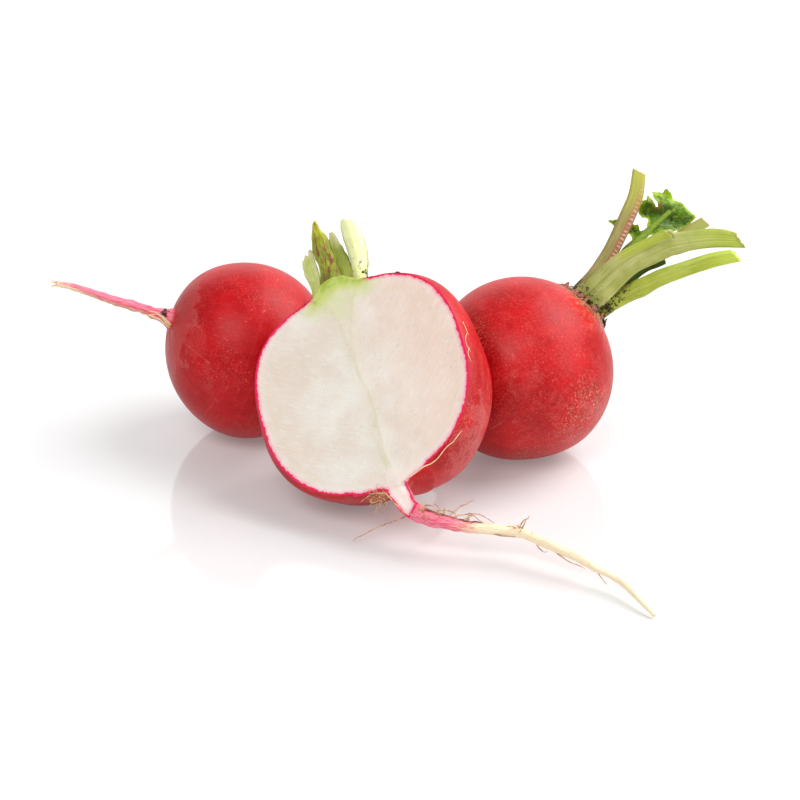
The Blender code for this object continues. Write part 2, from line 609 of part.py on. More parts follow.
def make_half_root():
    root = loft("half_root", half_rings(), CUT_FLESH)
    middle = half_point(*HALF_MIDDLE)
    towards_right = (RIGHT_CENTRE - middle).normalized()

    def settle(point):
        behind = (HALF_CENTRE - point).dot(HALF_FRONT)
        if behind < CUT_FACE_DEPTH or (point - middle).length > HALF_RADIUS * HALF_BULB_END:
            return point
        if behind > LUMP_DEPTH:
            point = lumpy(point, middle, HALF_RADIUS)
        downness = clamp((-(point - middle).normalized().z - HALF_SAG_CONE) / (1 - HALF_SAG_CONE))
        point = point - Vector((0, 0, HALF_SAG * downness ** HALF_SAG_POWER))
        return flattened(point, middle, towards_right, HALF_REACH)

    move_points(root, settle)
    rootlets(root, HALF_ROOTLETS)
    flatten_base(root)


def make_half_stalks():
    for name, route, groove, slant in HALF_STALKS:
        rows = [(*half_point(*row[:3]), *row[3:]) for row in route]
        loft(name, stalk_rings(rows, -HALF_AXIS, groove, HALF_STALK_RIBS, slant), PALE_STALK)


clear_scene()
PARTS = bpy.data.collections.new("bunch_of_radishes")
bpy.context.scene.collection.children.link(PARTS)
RED_SKIN = plain_material("radish_skin", SKIN, 0.32)
CUT_FLESH = plain_material("radish_flesh", FLESH, 0.30)
GREEN_STALK = plain_material("radish_stalk", STALK_GREEN, 0.42)
PALE_STALK = plain_material("radish_pale_stalk", PALE_GREEN, 0.42)
GREEN_LEAF = plain_material("radish_leaf", LEAF_GREEN, 0.38)
make_left_root()
make_left_stalks()
make_right_root()
make_right_stalks()
make_leaf()
make_half_root()
make_half_stalks()
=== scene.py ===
"""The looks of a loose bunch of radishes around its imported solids: two whole roots and one cut in half.

Lengths are in millimetres in the layout that the solids were drawn in. BASE_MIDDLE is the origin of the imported
frame in that layout, and MM turns a mesh into metres. Every piece replaces the solid that it repeats more finely.
"""

import math
import random

import bpy
import numpy as np
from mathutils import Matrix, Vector, geometry, noise
from mathutils.bvhtree import BVHTree


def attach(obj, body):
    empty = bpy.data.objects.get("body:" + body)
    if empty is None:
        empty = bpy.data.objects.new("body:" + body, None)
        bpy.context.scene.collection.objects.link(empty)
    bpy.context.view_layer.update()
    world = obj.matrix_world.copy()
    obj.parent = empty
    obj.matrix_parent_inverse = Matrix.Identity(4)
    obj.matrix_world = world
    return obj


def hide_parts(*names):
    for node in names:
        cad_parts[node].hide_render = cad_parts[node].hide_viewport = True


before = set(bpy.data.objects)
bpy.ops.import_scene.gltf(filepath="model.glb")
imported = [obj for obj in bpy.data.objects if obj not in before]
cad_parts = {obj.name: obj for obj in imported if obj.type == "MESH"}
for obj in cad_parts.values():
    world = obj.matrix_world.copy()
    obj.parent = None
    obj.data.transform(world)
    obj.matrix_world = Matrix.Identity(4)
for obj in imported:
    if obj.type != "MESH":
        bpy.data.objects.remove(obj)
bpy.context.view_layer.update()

MM = 0.001
BASE_MIDDLE = np.array((-0.9, -13.0, 0.0))
VIEWER = np.array((0.0, -0.9135, 0.4067))
UP = np.array((0.0, 0.0, 1.0))
SHARP_ANGLE = math.radians(38)
HAIR_SIDE = np.array((0.3, 0.5, 0.81))
WIGGLE_SIZE = 1.3


def unit(vector):
    return vector / np.linalg.norm(vector, axis=-1, keepdims=True)


# The solids' measures. A few differ a little, so that the necks flare smoothly into their taproots: LEFT_ROOT_RADIUS,
# HALF_NECK, and the starts of LEFT_TAIL and HALF_TAIL.
LUMP_HEIGHT = 0.30
LUMP_SIZE = 15.0
LUMP_LOSS = 0.6

LEFT_RADIUS = 15.3
LEFT_CENTRE = np.array((-27.25, 14.5, 15.0))
LEFT_AXIS = unit(np.array((-0.90, -0.153, 0.418)))
LEFT_CROWN_RADIUS = 3.4
LEFT_ROOT_RADIUS = 2.3
LEFT_SQUAT_SIDE = unit(np.array((-0.98, -0.08, -0.18)))
LEFT_SQUAT = 0.13
LEFT_SQUAT_FADE = 0.14
# A taproot's route, with its radius at each point.
LEFT_TAIL = (
    (-41.05, 12.1, 21.85, 1.65), (-41.6, 11.95, 22.5, 1.25), (-42.4, 11.6, 23.2, 1.0), (-43.6, 11.2, 24.0, 0.88),
    (-46.0, 10.4, 25.1, 0.86), (-48.6, 9.7, 26.2, 0.78), (-51.4, 9.1, 27.5, 0.68), (-54.2, 8.5, 28.8, 0.60),
    (-56.6, 8.0, 29.7, 0.52), (-58.2, 7.6, 30.2, 0.42),
)
# Each stub's place on the crown (sideways and up), its length and its half width.
LEFT_STALKS = ((-1.6, 0.6, 8.5, 1.15), (1.5, 0.9, 7.0, 1.25), (0.1, -1.8, 6.0, 1.0))
LEFT_STALK_SPREAD = 0.35
LEFT_STALK_FLATNESS = 0.62

RIGHT_RADIUS = 15.8
RIGHT_CENTRE = np.array((20.7, 5.5, 15.2))
RIGHT_AXIS = unit(np.array((-0.683, -0.386, -0.620)))
RIGHT_CROWN_RADIUS = 4.4
RIGHT_ROOT_RADIUS = 3.6
RIGHT_TAPER = 0.10
RIGHT_TAIL = (
    (9.7, -0.8, 5.2, 2.2), (8.5, -1.6, 4.2, 1.45), (6.6, -2.4, 3.0, 1.15), (4.0, -2.8, 2.0, 0.95),
    (1.0, -2.8, 1.4, 0.80), (-2.4, -2.2, 1.1, 0.62), (-6.0, -1.0, 0.9, 0.45),
)
# How far the two that touch reach to each other before they are pressed flat, and how soft that edge is.
RIGHT_REACH = 13.9
HALF_REACH = 17.4
SOFT_EDGE = 0.8
RIGHT_BULB_END = 1.02
HALF_BULB_END = 1.12

HALF_RADIUS = 19.3
HALF_CENTRE = np.array((-6.2, -15.9, 21.6))
HALF_FRONT = unit(np.array((-0.40, -0.69, 0.60)))
HALF_AXIS = np.array((0.26, -0.72, -0.65))
HALF_AXIS = unit(HALF_AXIS - HALF_FRONT * HALF_AXIS.dot(HALF_FRONT))
HALF_ACROSS = np.cross(HALF_AXIS, HALF_FRONT)
HALF_LENGTH = 17.9
HALF_WIDEN = 1.03
HALF_OFFSET = 0.171
HALF_FRONT_DEPTH = 0.51
HALF_BACK_DEPTH = 0.97
HALF_MIDDLE = (-0.3, -0.1, -3.3)
HALF_CROWN_ANGLE = math.radians(13)
HALF_ROOT_ANGLE = math.radians(161)
HALF_CROWN_BLUNTNESS = 2.8
HALF_ROOT_BLUNTNESS = 2.2
HALF_RINGS = 20
HALF_HANG = 3.2
HALF_HANG_DEPTH = 6.0
HALF_HANG_START = 0.3
HALF_HANG_POWER = 1.5
HALF_SAG = 1.1
HALF_SAG_CONE = 0.88
HALF_SAG_POWER = 1.3
# The cut half's crown: its radius and how far along it lies. Its neck: across, along, the radius, and how much it
# belongs to the bulb. Its taproot: the route, the radius, and how much of the front is still there.
CROWN_DOME = ((0.05, -20.3), (0.9, -20.2), (2.2, -19.8), (3.4, -19.0), (4.7, -18.2))
HALF_NECK = ((0.1, 17.5, 6.7, 1.0), (-0.4, 17.95, 4.5, 0.9), (-0.9, 18.35, 2.8, 0.7), (-0.95, 18.9, 2.15, 0.4))
HALF_TAIL = (
    (-0.5, -29.9, 9.7, 1.95, 0.0), (0.3, -30.9, 8.9, 1.72, 0.0), (1.1, -32.1, 7.9, 1.55, 0.0),
    (2.9, -33.2, 6.9, 1.38, 0.5), (5.1, -33.7, 6.2, 1.25, 1.0), (7.9, -34.4, 5.8, 1.10, 1.0),
    (10.5, -35.1, 5.5, 1.00, 1.0), (13.3, -35.4, 5.4, 0.92, 1.0), (16.0, -35.8, 5.3, 0.85, 1.0),
    (18.8, -36.1, 5.1, 0.85, 1.0), (21.4, -37.9, 4.8, 0.75, 1.0), (25.7, -40.9, 4.1, 0.70, 1.0),
    (28.2, -42.5, 3.6, 0.64, 1.0), (30.5, -44.8, 3.1, 0.56, 1.0), (32.9, -46.3, 2.6, 0.48, 1.0),
    (35.2, -48.9, 2.1, 0.48, 1.0), (37.0, -52.3, 1.5, 0.42, 1.0), (39.2, -55.8, 0.5, 0.30, 1.0),
)
CROWN_SINK = 0.2

# How finely the pieces are drawn.
BULB_SIDES = 132
BULB_RINGS = 120
TAIL_RINGS = 100
CUT_SIDES = 64
HALF_ROWS = 260
STUB_SIDES = 64
STUB_RINGS = 80
LEAF_STALK_SIDES = 28
LEAF_STALK_RINGS = 70


# Shapes

def clamp(value):
    return np.clip(value, 0.0, 1.0)


def ease(value):
    """0 to 1 with a soft start and end."""
    value = clamp(value)
    return value * value * (3 - 2 * value)


def grain(points, size, seed=0.0, squeeze=(1.0, 1.0, 1.0)):
    """Smooth noise from -1 to 1 at each point, with features of a size, longer where squeeze is below 1."""
    shift = Vector((seed, 1.7 * seed, -0.6 * seed))
    flat = (points * np.array(squeeze)).reshape(-1, 3)
    values = [noise.noise(Vector(point) / size + shift) for point in flat.tolist()]
    return np.array(values).reshape(points.shape[:-1])


def smooth_route(points, count):
    """Even steps along a smooth curve through the points, which may also carry values beside x, y and z."""
    rows = np.array([points[0], *points, points[-1]], float)
    place = np.linspace(0, len(rows) - 3, count)
    span = np.minimum(place.astype(int), len(rows) - 4)
    t = (place - span)[:, None]
    before, start, end, after = (rows[span + k] for k in range(4))
    bend = 2 * before - 5 * start + 4 * end - after
    twist = 3 * (start - end) + after - before
    return start + 0.5 * t * (end - before + t * (bend + t * twist))


def frames_along(tangents, side):
    """At each point of a route, two directions: across it, turned as little as it can be, and out of its front."""
    across = []
    for tangent in tangents:
        side = unit(side - tangent * side.dot(tangent))
        across.append(side)
    across = np.array(across)
    return across, np.cross(across, tangents)


def tangents_along(points):
    return unit(np.gradient(points, axis=0))


def run_lengths(centres):
    steps = np.linalg.norm(np.diff(centres, axis=0), axis=1)
    return np.concatenate(([0.0], np.cumsum(steps)))


def line_distance(points, line):
    """Distance of each flat point to a line of straight stretches."""
    best = np.full(points.shape[:-1], 1e9)
    for start, end in zip(np.array(line), np.array(line)[1:]):
        run = end - start
        share = clamp(((points - start) @ run) / max(run @ run, 1e-9))
        best = np.minimum(best, np.linalg.norm(points - start - share[..., None] * run, axis=-1))
    return best


def close_to(points, place, radius, fade):
    """1 near a place and 0 beyond a radius, with a soft edge."""
    return ease((radius - np.linalg.norm(points - np.array(place), axis=-1)) / fade)


def half_point(across, along, out):
    """A point of the half, from the middle of its cut face: along runs to the root, out to the viewer."""
    return HALF_CENTRE + HALF_ACROSS * across + HALF_AXIS * along + HALF_FRONT * out


def lumpy(points, centre, radius):
    offset = points - centre
    distance = np.linalg.norm(offset, axis=-1)
    height = LUMP_HEIGHT * grain(points, LUMP_SIZE) * clamp(1 - LUMP_LOSS * (distance / radius - 1))
    return points + offset * (height / distance)[..., None]


def flattened(points, centre, towards, reach):
    excess = (points - centre) @ towards - reach
    push = SOFT_EDGE * np.log1p(np.exp(np.minimum(excess / SOFT_EDGE, 30.0)))
    return points - towards * push[..., None]


def store(mesh, name, values):
    """Keeps a number or a vector for each corner of a mesh, for its material to read."""
    values = np.asarray(values, np.float32)
    kind, field = ("FLOAT_VECTOR", "vector") if values.ndim > 1 else ("FLOAT", "value")
    mesh.attributes.new(name, kind, "POINT").data.foreach_set(field, values.ravel())


def add_object(name, data):
    made = bpy.data.objects.new(name, data)
    bpy.context.scene.collection.objects.link(made)
    return made


def make_piece(name, points, faces, looks, stored=None, face_looks=None, sharp=True):
    """A piece that rides with the bunch, from points in millimetres."""
    mesh = bpy.data.meshes.new(name)
    mesh.from_pydata(((points - BASE_MIDDLE) * MM).tolist(), [], faces)
    for look in looks:
        mesh.materials.append(look)
    if face_looks is not None:
        mesh.polygons.foreach_set("material_index", face_looks)
    for key, values in (stored or {}).items():
        store(mesh, key, values)
    mesh.shade_smooth()
    if sharp:
        mesh.set_sharp_from_angle(angle=SHARP_ANGLE)
    piece = add_object(name, mesh)
    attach(piece, "root")
    return piece


def stand_for(node):
    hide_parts(node)


def closed_loft(rings, start=0):
    """Points and faces of a closed skin over rings, with a middle point in each end."""
    count, sides = rings.shape[:2]
    points = np.concatenate((rings.reshape(-1, 3), rings[0].mean(0)[None], rings[-1].mean(0)[None]))
    corner = start + np.arange(count * sides).reshape(count, sides)
    after = np.roll(corner, -1, axis=1)
    faces = np.stack((corner[:-1], corner[1:], after[1:], after[:-1]), axis=-1).reshape(-1, 4).tolist()
    first, last = start + count * sides, start + count * sides + 1
    faces += [(first, near, far) for near, far in zip(corner[0].tolist(), after[0].tolist())]
    faces += [(last, far, near) for near, far in zip(corner[-1].tolist(), after[-1].tolist())]
    return points, faces


def with_ends(grid):
    """The values of a closed skin's points: those of its rings, then those of its two middle points."""
    values = grid.reshape(-1, *grid.shape[2:])
    return np.concatenate((values, grid[0, :1], grid[-1, :1]))


def join_lofts(lofts):
    """Several closed skins as one list of points and one of faces."""
    points, faces = [], []
    start = 0
    for rings in lofts:
        part_points, part_faces = closed_loft(rings, start)
        points.append(part_points)
        faces += part_faces
        start += len(part_points)
    return np.concatenate(points), faces


def loft_piece(name, node, rings, looks, stored, **options):
    """One closed skin that stands for a solid, with what its materials read at each corner of its rings."""
    points, faces = closed_loft(rings)
    piece = make_piece(name, points, faces, looks, {key: with_ends(grid) for key, grid in stored.items()}, **options)
    stand_for(node)
    return piece


def small_piece(name, lofts, look):
    """Fine parts of the bunch that no solid stands for, as one piece."""
    piece = make_piece(name, *join_lofts(lofts), [look])


def surface_of(*pieces):
    """The faces of some pieces, for finding places on them."""
    points, faces = [], []
    for piece in pieces:
        start = len(points)
        points += [Vector(corner.co) / MM + Vector(BASE_MIDDLE) for corner in piece.data.vertices]
        faces += [[start + i for i in face.vertices] for face in piece.data.polygons]
    return BVHTree.FromPolygons(points, faces)


def put_on(surface, point, lift):
    """The nearest place on a surface, lifted off it, and the direction out of it."""
    place, normal, _, _ = surface.find_nearest(Vector(point))
    return np.array(place + normal * lift), np.array(normal)


def turns(sides):
    """Even angles around a section."""
    return np.linspace(0, 2 * math.pi, sides, endpoint=False)


def sections(centres, across, front, width, depth, sides):
    """Ellipses around a route, with half a width and half a depth for each of its points."""
    sideways = across[:, None] * (width[:, None] * np.cos(turns(sides)))[..., None]
    return centres[:, None] + sideways + front[:, None] * (depth[:, None] * np.sin(turns(sides)))[..., None]


def hair_rings(route, thickness, sides=6, taper=0.6, steps=5, wiggle=0.0, seed=1.0):
    """Sections of a fine root along a smooth route, thinner to its tip."""
    count = max(4, (len(route) - 1) * steps)
    centres = smooth_route(route, count)
    share = np.linspace(0, 1, count)
    if wiggle:
        shake = np.stack([grain(centres, WIGGLE_SIZE, seed + k) for k in range(3)], axis=-1)
        centres = centres + shake * wiggle * share[:, None]
    across, front = frames_along(tangents_along(centres), HAIR_SIDE)
    radius = thickness / 2 * (1 - taper * share)
    return sections(centres, across, front, radius, radius, sides)


def growth_spot(sides, along, radius):
    """A place on a grown body: around it as two numbers and along it as one, all in millimetres."""
    around = (radius * np.cos(turns(sides)), radius * np.sin(turns(sides)))
    return np.stack(np.broadcast_arrays(*around, along[:, None]), axis=-1)


# Materials

def colour(red, green, blue):
    """A colour given as a screen shows it, from 0 to 255, as the light values that a material needs."""
    shares = np.array((red, green, blue)) / 255
    linear = np.where(shares <= 0.04045, shares / 12.92, ((shares + 0.055) / 1.055) ** 2.4)
    return (*linear.tolist(), 1.0)


class Look:
    """A procedural material, with short calls for the nodes that it is made of."""

    def __init__(self, name, **constants):
        self.material = bpy.data.materials.new(name)
        self.material.use_nodes = True
        self.tree = self.material.node_tree
        self.shader = self.tree.nodes["Principled BSDF"]
        for socket, value in constants.items():
            self.shader.inputs[socket.replace("_", " ")].default_value = value
        self.base = None

    def put(self, kind, inputs, output=0, **settings):
        """Adds a node, feeds its inputs with links or values, and gives one of its outputs."""
        node = self.tree.nodes.new("ShaderNode" + kind)
        for setting, value in settings.items():
            setattr(node, setting, value)
        for socket, value in inputs.items():
            if isinstance(value, bpy.types.NodeSocket):
                self.tree.links.new(value, node.inputs[socket])
            else:
                node.inputs[socket].default_value = value
        return node.outputs[output]

    def number(self, name):
        return self.put("Attribute", {}, "Fac", attribute_name=name)

    def vector(self, name):
        return self.put("Attribute", {}, "Vector", attribute_name=name)

    def place(self):
        """The point on the surface, in millimetres."""
        point = self.put("TexCoord", {}, "Object")
        return self.put("Mapping", {"Vector": point, "Scale": (1000, 1000, 1000)})

    def noise(self, vector, size, detail=2.0, rough=0.5, stretch=(1, 1, 1), twist=0.0):
        scale = tuple(s / size for s in stretch)
        scaled = self.put("Mapping", {"Vector": vector, "Scale": scale})
        inputs = {"Vector": scaled, "Scale": 1.0, "Detail": detail, "Roughness": rough, "Distortion": twist}
        return self.put("TexNoise", inputs, "Fac")

    def cells(self, vector, size, feature="F1"):
        return self.put("TexVoronoi", {"Vector": vector, "Scale": 1 / size}, "Distance", feature=feature)

    def span(self, value, low, high, to_low=0.0, to_high=1.0):
        """Takes a value from a range to another, with soft ends."""
        inputs = {"Value": value, "From Min": low, "From Max": high, "To Min": to_low, "To Max": to_high}
        return self.put("MapRange", inputs, interpolation_type="SMOOTHSTEP")

    def fade(self, value, low, high):
        """1 up to low and 0 from high on."""
        return self.span(value, low, high, 1.0, 0.0)

    def add(self, first, second):
        return self.put("Math", {0: first, 1: second}, operation="ADD")

    def times(self, *values):
        result = values[0]
        for value in values[1:]:
            result = self.put("Math", {0: result, 1: value}, operation="MULTIPLY")
        return result

    def weigh(self, *terms):
        """The sum of some values, each times its weight."""
        result = self.times(*terms[0])
        for term in terms[1:]:
            result = self.add(result, self.times(*term))
        return result

    def shaken(self, value, noise, amount, low=0.25, high=0.75):
        """A value that a noise makes uneven, by up to an amount either way."""
        return self.add(value, self.span(noise, low, high, -amount, amount))

    def mix(self, share, first, second):
        """Two colours mixed. Each is a link, or a tone as a screen shows it, from 0 to 255."""
        node = self.tree.nodes.new("ShaderNodeMix")
        node.data_type = "RGBA"
        sockets = {socket.identifier: socket for socket in node.inputs}
        for key, value in (("Factor_Float", share), ("A_Color", first), ("B_Color", second)):
            if isinstance(value, bpy.types.NodeSocket):
                self.tree.links.new(value, sockets[key])
            else:
                sockets[key].default_value = colour(*value) if isinstance(value, tuple) else value
        return next(socket for socket in node.outputs if socket.identifier == "Result_Color")

    def blend(self, value, low, high, first, second):
        """One colour up to low and another from high on."""
        return self.mix(self.span(value, low, high), first, second)

    def paint(self, share, tone, strength=1.0):
        """Lays a tone over the colour so far, where share is above 0."""
        if strength < 1.0:
            share = self.times(share, strength)
        self.base = self.mix(share, self.base, tone)

    def finish(self, rough, height, distance):
        """Feeds the shader: the painted colour, the roughness, and a surface raised by up to distance in mm."""
        normal = self.put("Bump", {"Height": height, "Distance": distance * MM, "Strength": 1.0})
        for socket, value in (("Base Color", self.base), ("Roughness", rough), ("Normal", normal)):
            self.tree.links.new(value, self.shader.inputs[socket])
        return self.material


def skin_look():
    """Radish skin: red with paler scuffs, fine specks and streaks, a pink taproot that turns cream, a dry crown."""
    look = Look("radish_skin", IOR=1.30)
    place = look.place()
    spot = look.vector("spot")
    brown, crown = look.number("brown"), look.number("crown")
    broad = look.noise(place, 9.0, 3)
    mottle = look.noise(place, 1.6, 5, 0.65)
    fine = look.noise(place, 0.28, 4, 0.72)
    streaks = look.noise(spot, 0.5, 4, 0.65, (1.0, 1.0, 0.10))
    rings = look.noise(spot, 1.0, 3, 0.6, (0.06, 0.06, 1.3))
    look.base = look.blend(broad, 0.3, 0.7, (166, 3, 12), (196, 9, 20))
    look.paint(look.span(mottle, 0.40, 0.75), (212, 34, 40), 0.38)
    look.paint(look.span(streaks, 0.52, 0.80), (138, 2, 12), 0.45)
    look.paint(look.fade(streaks, 0.22, 0.42), (218, 60, 60), 0.34)
    look.paint(look.span(rings, 0.56, 0.80), (222, 76, 76), 0.22)
    sandy = look.span(look.noise(place, 5.0, 3, 0.6), 0.44, 0.62, 0.20, 1.0)
    look.paint(look.times(look.span(fine, 0.52, 0.66), sandy), (230, 112, 104), 0.40)
    look.paint(look.fade(fine, 0.30, 0.46), (136, 2, 10), 0.42)
    blotches = look.span(look.noise(place, 2.6, 5, 0.7), 0.40, 0.66)
    look.paint(look.times(brown, blotches), (140, 52, 36), 0.70)
    flecks = look.span(look.noise(place, 0.42, 4, 0.8), 0.53, 0.63)
    look.paint(look.times(brown, flecks), (224, 156, 130), 0.75)
    bloom = look.shaken(look.number("bloom"), look.noise(place, 2.8, 6, 0.62), 0.55)
    bloom = look.times(look.span(bloom, 0.47, 0.56), look.span(fine, 0.25, 0.75, 0.45, 1.0))
    look.paint(bloom, (196, 94, 92), 0.50)
    scuff = look.span(look.noise(place, 6.0, 7, 0.66, twist=0.4), 0.55, 0.64)
    scuff = look.times(scuff, look.span(fine, 0.35, 0.75, 0.2, 1.0))
    look.paint(scuff, (222, 112, 108), 0.26)
    scratches = look.span(look.noise(spot, 0.42, 2, 0.5, (0.45, 2.2, 0.7), 0.9), 0.66, 0.73)
    look.paint(look.times(scratches, look.span(broad, 0.42, 0.60)), (236, 150, 142), 0.28)
    pits = look.fade(look.cells(place, 2.3), 0.035, 0.075)
    look.paint(look.times(pits, look.span(broad, 0.42, 0.52)), (62, 12, 10), 0.8)
    growth = look.span(look.noise(spot, 0.40, 4, 0.7, (1.0, 1.0, 0.16)), 0.50, 0.64)
    look.paint(look.times(look.span(look.number("near"), 0.05, 0.8), growth), (228, 122, 108), 0.60)
    wrinkles = look.noise(spot, 0.7, 5, 0.7, (1.0, 1.0, 0.35))
    worn = look.times(look.span(look.shaken(crown, wrinkles, 0.35), 0.10, 0.42), look.span(crown, 0.0, 0.25))
    look.paint(worn, look.blend(wrinkles, 0.42, 0.62, (150, 42, 36), (206, 118, 96)), 0.75)
    ragged = look.noise(spot, 0.55, 5, 0.72, (1.0, 1.0, 0.5))
    dry = look.span(look.shaken(crown, ragged, 0.45), 0.42, 0.62)
    look.paint(dry, look.blend(fine, 0.4, 0.62, (168, 92, 62), (206, 156, 112)), 0.8)
    look.paint(look.span(look.shaken(crown, ragged, 0.5), 0.80, 0.98), (44, 28, 22), 0.92)
    warm = look.noise(spot, 0.45, 4, 0.65, (1.0, 1.0, 0.30))
    pink = look.blend(warm, 0.32, 0.62, (222, 44, 88), (248, 146, 166))
    cream = look.blend(warm, 0.4, 0.8, (252, 236, 204), (240, 208, 158))
    root = look.blend(look.shaken(look.number("pale"), warm, 0.30, 0.3, 0.7), 0.25, 0.80, pink, cream)
    bark = look.noise(spot, 0.34, 4, 0.7, (1.2, 1.2, 0.5))
    root = look.mix(look.times(look.span(bark, 0.58, 0.68), 0.55), root, (206, 142, 92))
    blush = look.times(look.fade(look.cells(spot, 1.1), 0.10, 0.22), look.span(bark, 0.45, 0.55))
    root = look.mix(look.times(blush, 0.5), root, (232, 120, 120))
    look.paint(look.span(look.number("tail"), 0.02, 0.6), root)
    rust = look.span(look.noise(spot, 0.30, 4, 0.75, (1.0, 1.0, 0.7)), 0.44, 0.60)
    look.paint(look.times(look.number("rust"), rust), (196, 104, 58), 0.75)
    look.paint(look.span(look.shaken(look.number("dirt"), ragged, 0.4), 0.52, 0.75), (66, 44, 28), 0.9)
    rough = look.span(look.weigh((scuff, 0.4), (mottle, 0.6)), 0.15, 0.75, 0.34, 0.58)
    height = look.weigh((mottle, 0.45), (fine, 0.22), (streaks, 0.35), (rings, 0.30), (dry, 0.8))
    return look.finish(rough, height, 0.11)


def flesh_look():
    """Cut flesh: moist and creamy, a green crown, faint core lines, cell streaks, painted highlights and a crimson
    rim.
    """
    look = Look("radish_flesh", IOR=1.38, Subsurface_Weight=0.30, Subsurface_Scale=0.0018,
                Subsurface_Radius=(1.0, 0.72, 0.5), Coat_Weight=0.5, Coat_Roughness=0.14, Coat_IOR=1.34)
    place = look.place()
    cells = look.vector("cells")
    rim, side, core, redness = (look.number(name) for name in ("rim", "side", "core", "redness"))
    broad = look.noise(place, 7.0, 3)
    look.base = look.blend(broad, 0.35, 0.68, (229, 217, 203), (237, 231, 221))
    look.paint(look.span(side, -2.0, 14.0), (238, 204, 188), 0.55)
    look.paint(look.fade(side, -16.0, -5.0), (230, 206, 188), 0.35)
    streaks = look.noise(cells, 0.55, 4, 0.6, (0.30, 1.9, 1.0))
    look.paint(look.span(streaks, 0.50, 0.72), (250, 247, 243), 0.32)
    look.paint(look.fade(streaks, 0.26, 0.44), (216, 204, 186), 0.14)
    core_line = look.times(look.fade(core, 0.0, 0.55), look.span(broad, 0.3, 0.6, 0.35, 1.0))
    look.paint(core_line, (200, 188, 148), 0.50)
    look.paint(look.fade(core, 0.0, 2.6), (230, 222, 194), 0.22)
    look.paint(look.number("neck"), (250, 226, 220), 0.55)
    green = look.shaken(look.number("green"), look.noise(place, 1.6, 4, 0.6), 0.10)
    look.paint(look.span(green, 0.06, 0.65), (216, 220, 164), 0.8)
    look.paint(look.span(green, 0.55, 0.90), (196, 210, 104), 0.85)
    look.paint(look.span(green, 0.88, 1.10), (162, 184, 46), 0.9)
    wander = look.shaken(rim, broad, 0.7, 0.3, 0.7)
    look.paint(look.times(look.span(wander, 1.7, 2.3), look.fade(wander, 2.3, 3.0)), (224, 204, 160), 0.10)
    bleed = look.shaken(rim, look.noise(place, 0.7, 3, 0.6), -0.13, 0.3, 0.75)
    bleed = look.shaken(bleed, broad, 0.10, 0.35, 0.65)
    look.paint(look.times(look.fade(rim, 0.5, 2.2), redness), (246, 226, 228), 0.22)
    look.paint(look.times(look.fade(bleed, 0.36, 1.0), redness), (240, 120, 164), 0.55)
    look.paint(look.times(look.fade(bleed, 0.30, 0.50), redness), (232, 8, 84))
    look.paint(look.times(look.fade(bleed, 0.10, 0.35), look.number("scar")), (58, 18, 16), 0.85)
    # Painted highlights: white glints in patches, along the cells, stand in for light on the moist cut face.
    glint_grid = look.put("Mapping", {"Vector": cells, "Scale": (0.55, 1.7, 1.0)})
    glint_patches = look.span(look.noise(place, 2.2, 3), 0.42, 0.58)
    glints = look.times(look.fade(look.cells(glint_grid, 0.62), 0.10, 0.28), glint_patches)
    look.paint(look.times(glints, look.span(rim, 1.0, 2.0)), (255, 255, 255), 0.55)
    pores = look.noise(cells, 0.22, 3, 0.65, (0.5, 1.4, 1.0))
    height = look.weigh((glints, 0.9), (streaks, 0.35), (pores, 0.30))
    return look.finish(look.span(streaks, 0.3, 0.7, 0.32, 0.46), height, 0.085)


def stalk_look(name, body, light, shade, tip, flank, flank_from=0.6, torn=None):
    """A leaf stalk: green with pale ribs along it, another colour on one flank and at the tip, and dirt specks."""
    look = Look(name, IOR=1.42, Subsurface_Weight=0.12, Subsurface_Scale=0.0010, Coat_Weight=0.15,
                Coat_Roughness=0.25)
    place = look.place()
    spot = look.vector("spot")
    dirt = look.number("dirt")
    fibres = look.noise(spot, 0.36, 4, 0.65, (1.0, 1.0, 0.05))
    fine = look.noise(spot, 0.13, 3, 0.65, (1.0, 1.0, 0.06))
    look.base = look.blend(look.noise(place, 3.5, 3), 0.35, 0.65, body, shade)
    look.paint(look.span(fibres, 0.46, 0.72), light, 0.55)
    look.paint(look.span(fine, 0.52, 0.76), shade, 0.35)
    look.paint(look.fade(fine, 0.24, 0.42), light, 0.30)
    look.paint(look.fade(fibres, 0.24, 0.36), (118, 108, 54), 0.35)
    side = look.shaken(look.number("flank"), fibres, 0.12, 0.3, 0.7)
    look.paint(look.span(side, flank_from - 0.10, flank_from + 0.12), flank, 0.85)
    ends = look.shaken(look.number("share"), fibres, 0.08, 0.3, 0.7)
    look.paint(look.span(ends, 0.62, 1.0), tip, 0.75)
    if torn:
        rips = look.noise(spot, 0.60, 5, 0.75, (1.2, 1.2, 0.35), 0.6)
        for low, high, tone, strength in ((0.46, 0.55, torn, 0.85), (0.62, 0.68, (206, 26, 66), 0.7)):
            look.paint(look.times(look.span(rips, low, high), look.number("torn")), tone, strength)
    look.paint(look.span(look.number("ridge"), 0.25, 0.85), (222, 204, 168), 0.75)
    # Painted shade: dark lines under the broad stalk's torn lip, along its seam and along the stubs' edges;
    # the same dark also lines the slim stalk's ridged edge and the broad stalk's cut end.
    look.paint(look.number("stain"), (70, 52, 28), 0.85)
    patches = look.times(look.span(look.noise(place, 1.8, 4, 0.6), 0.51, 0.58), look.span(dirt, 0.05, 0.5))
    look.paint(look.times(look.fade(look.cells(place, 0.62), 0.10, 0.20), patches), (46, 34, 20), 0.92)
    crust = look.span(look.shaken(dirt, look.noise(place, 0.7, 5, 0.72), 0.55), 0.80, 1.05)
    look.paint(crust, (52, 40, 28), 0.9)
    height = look.weigh((fibres, 0.8), (fine, 0.5), (crust, 0.6))
    return look.finish(look.span(fibres, 0.3, 0.7, 0.34, 0.50), height, 0.12)


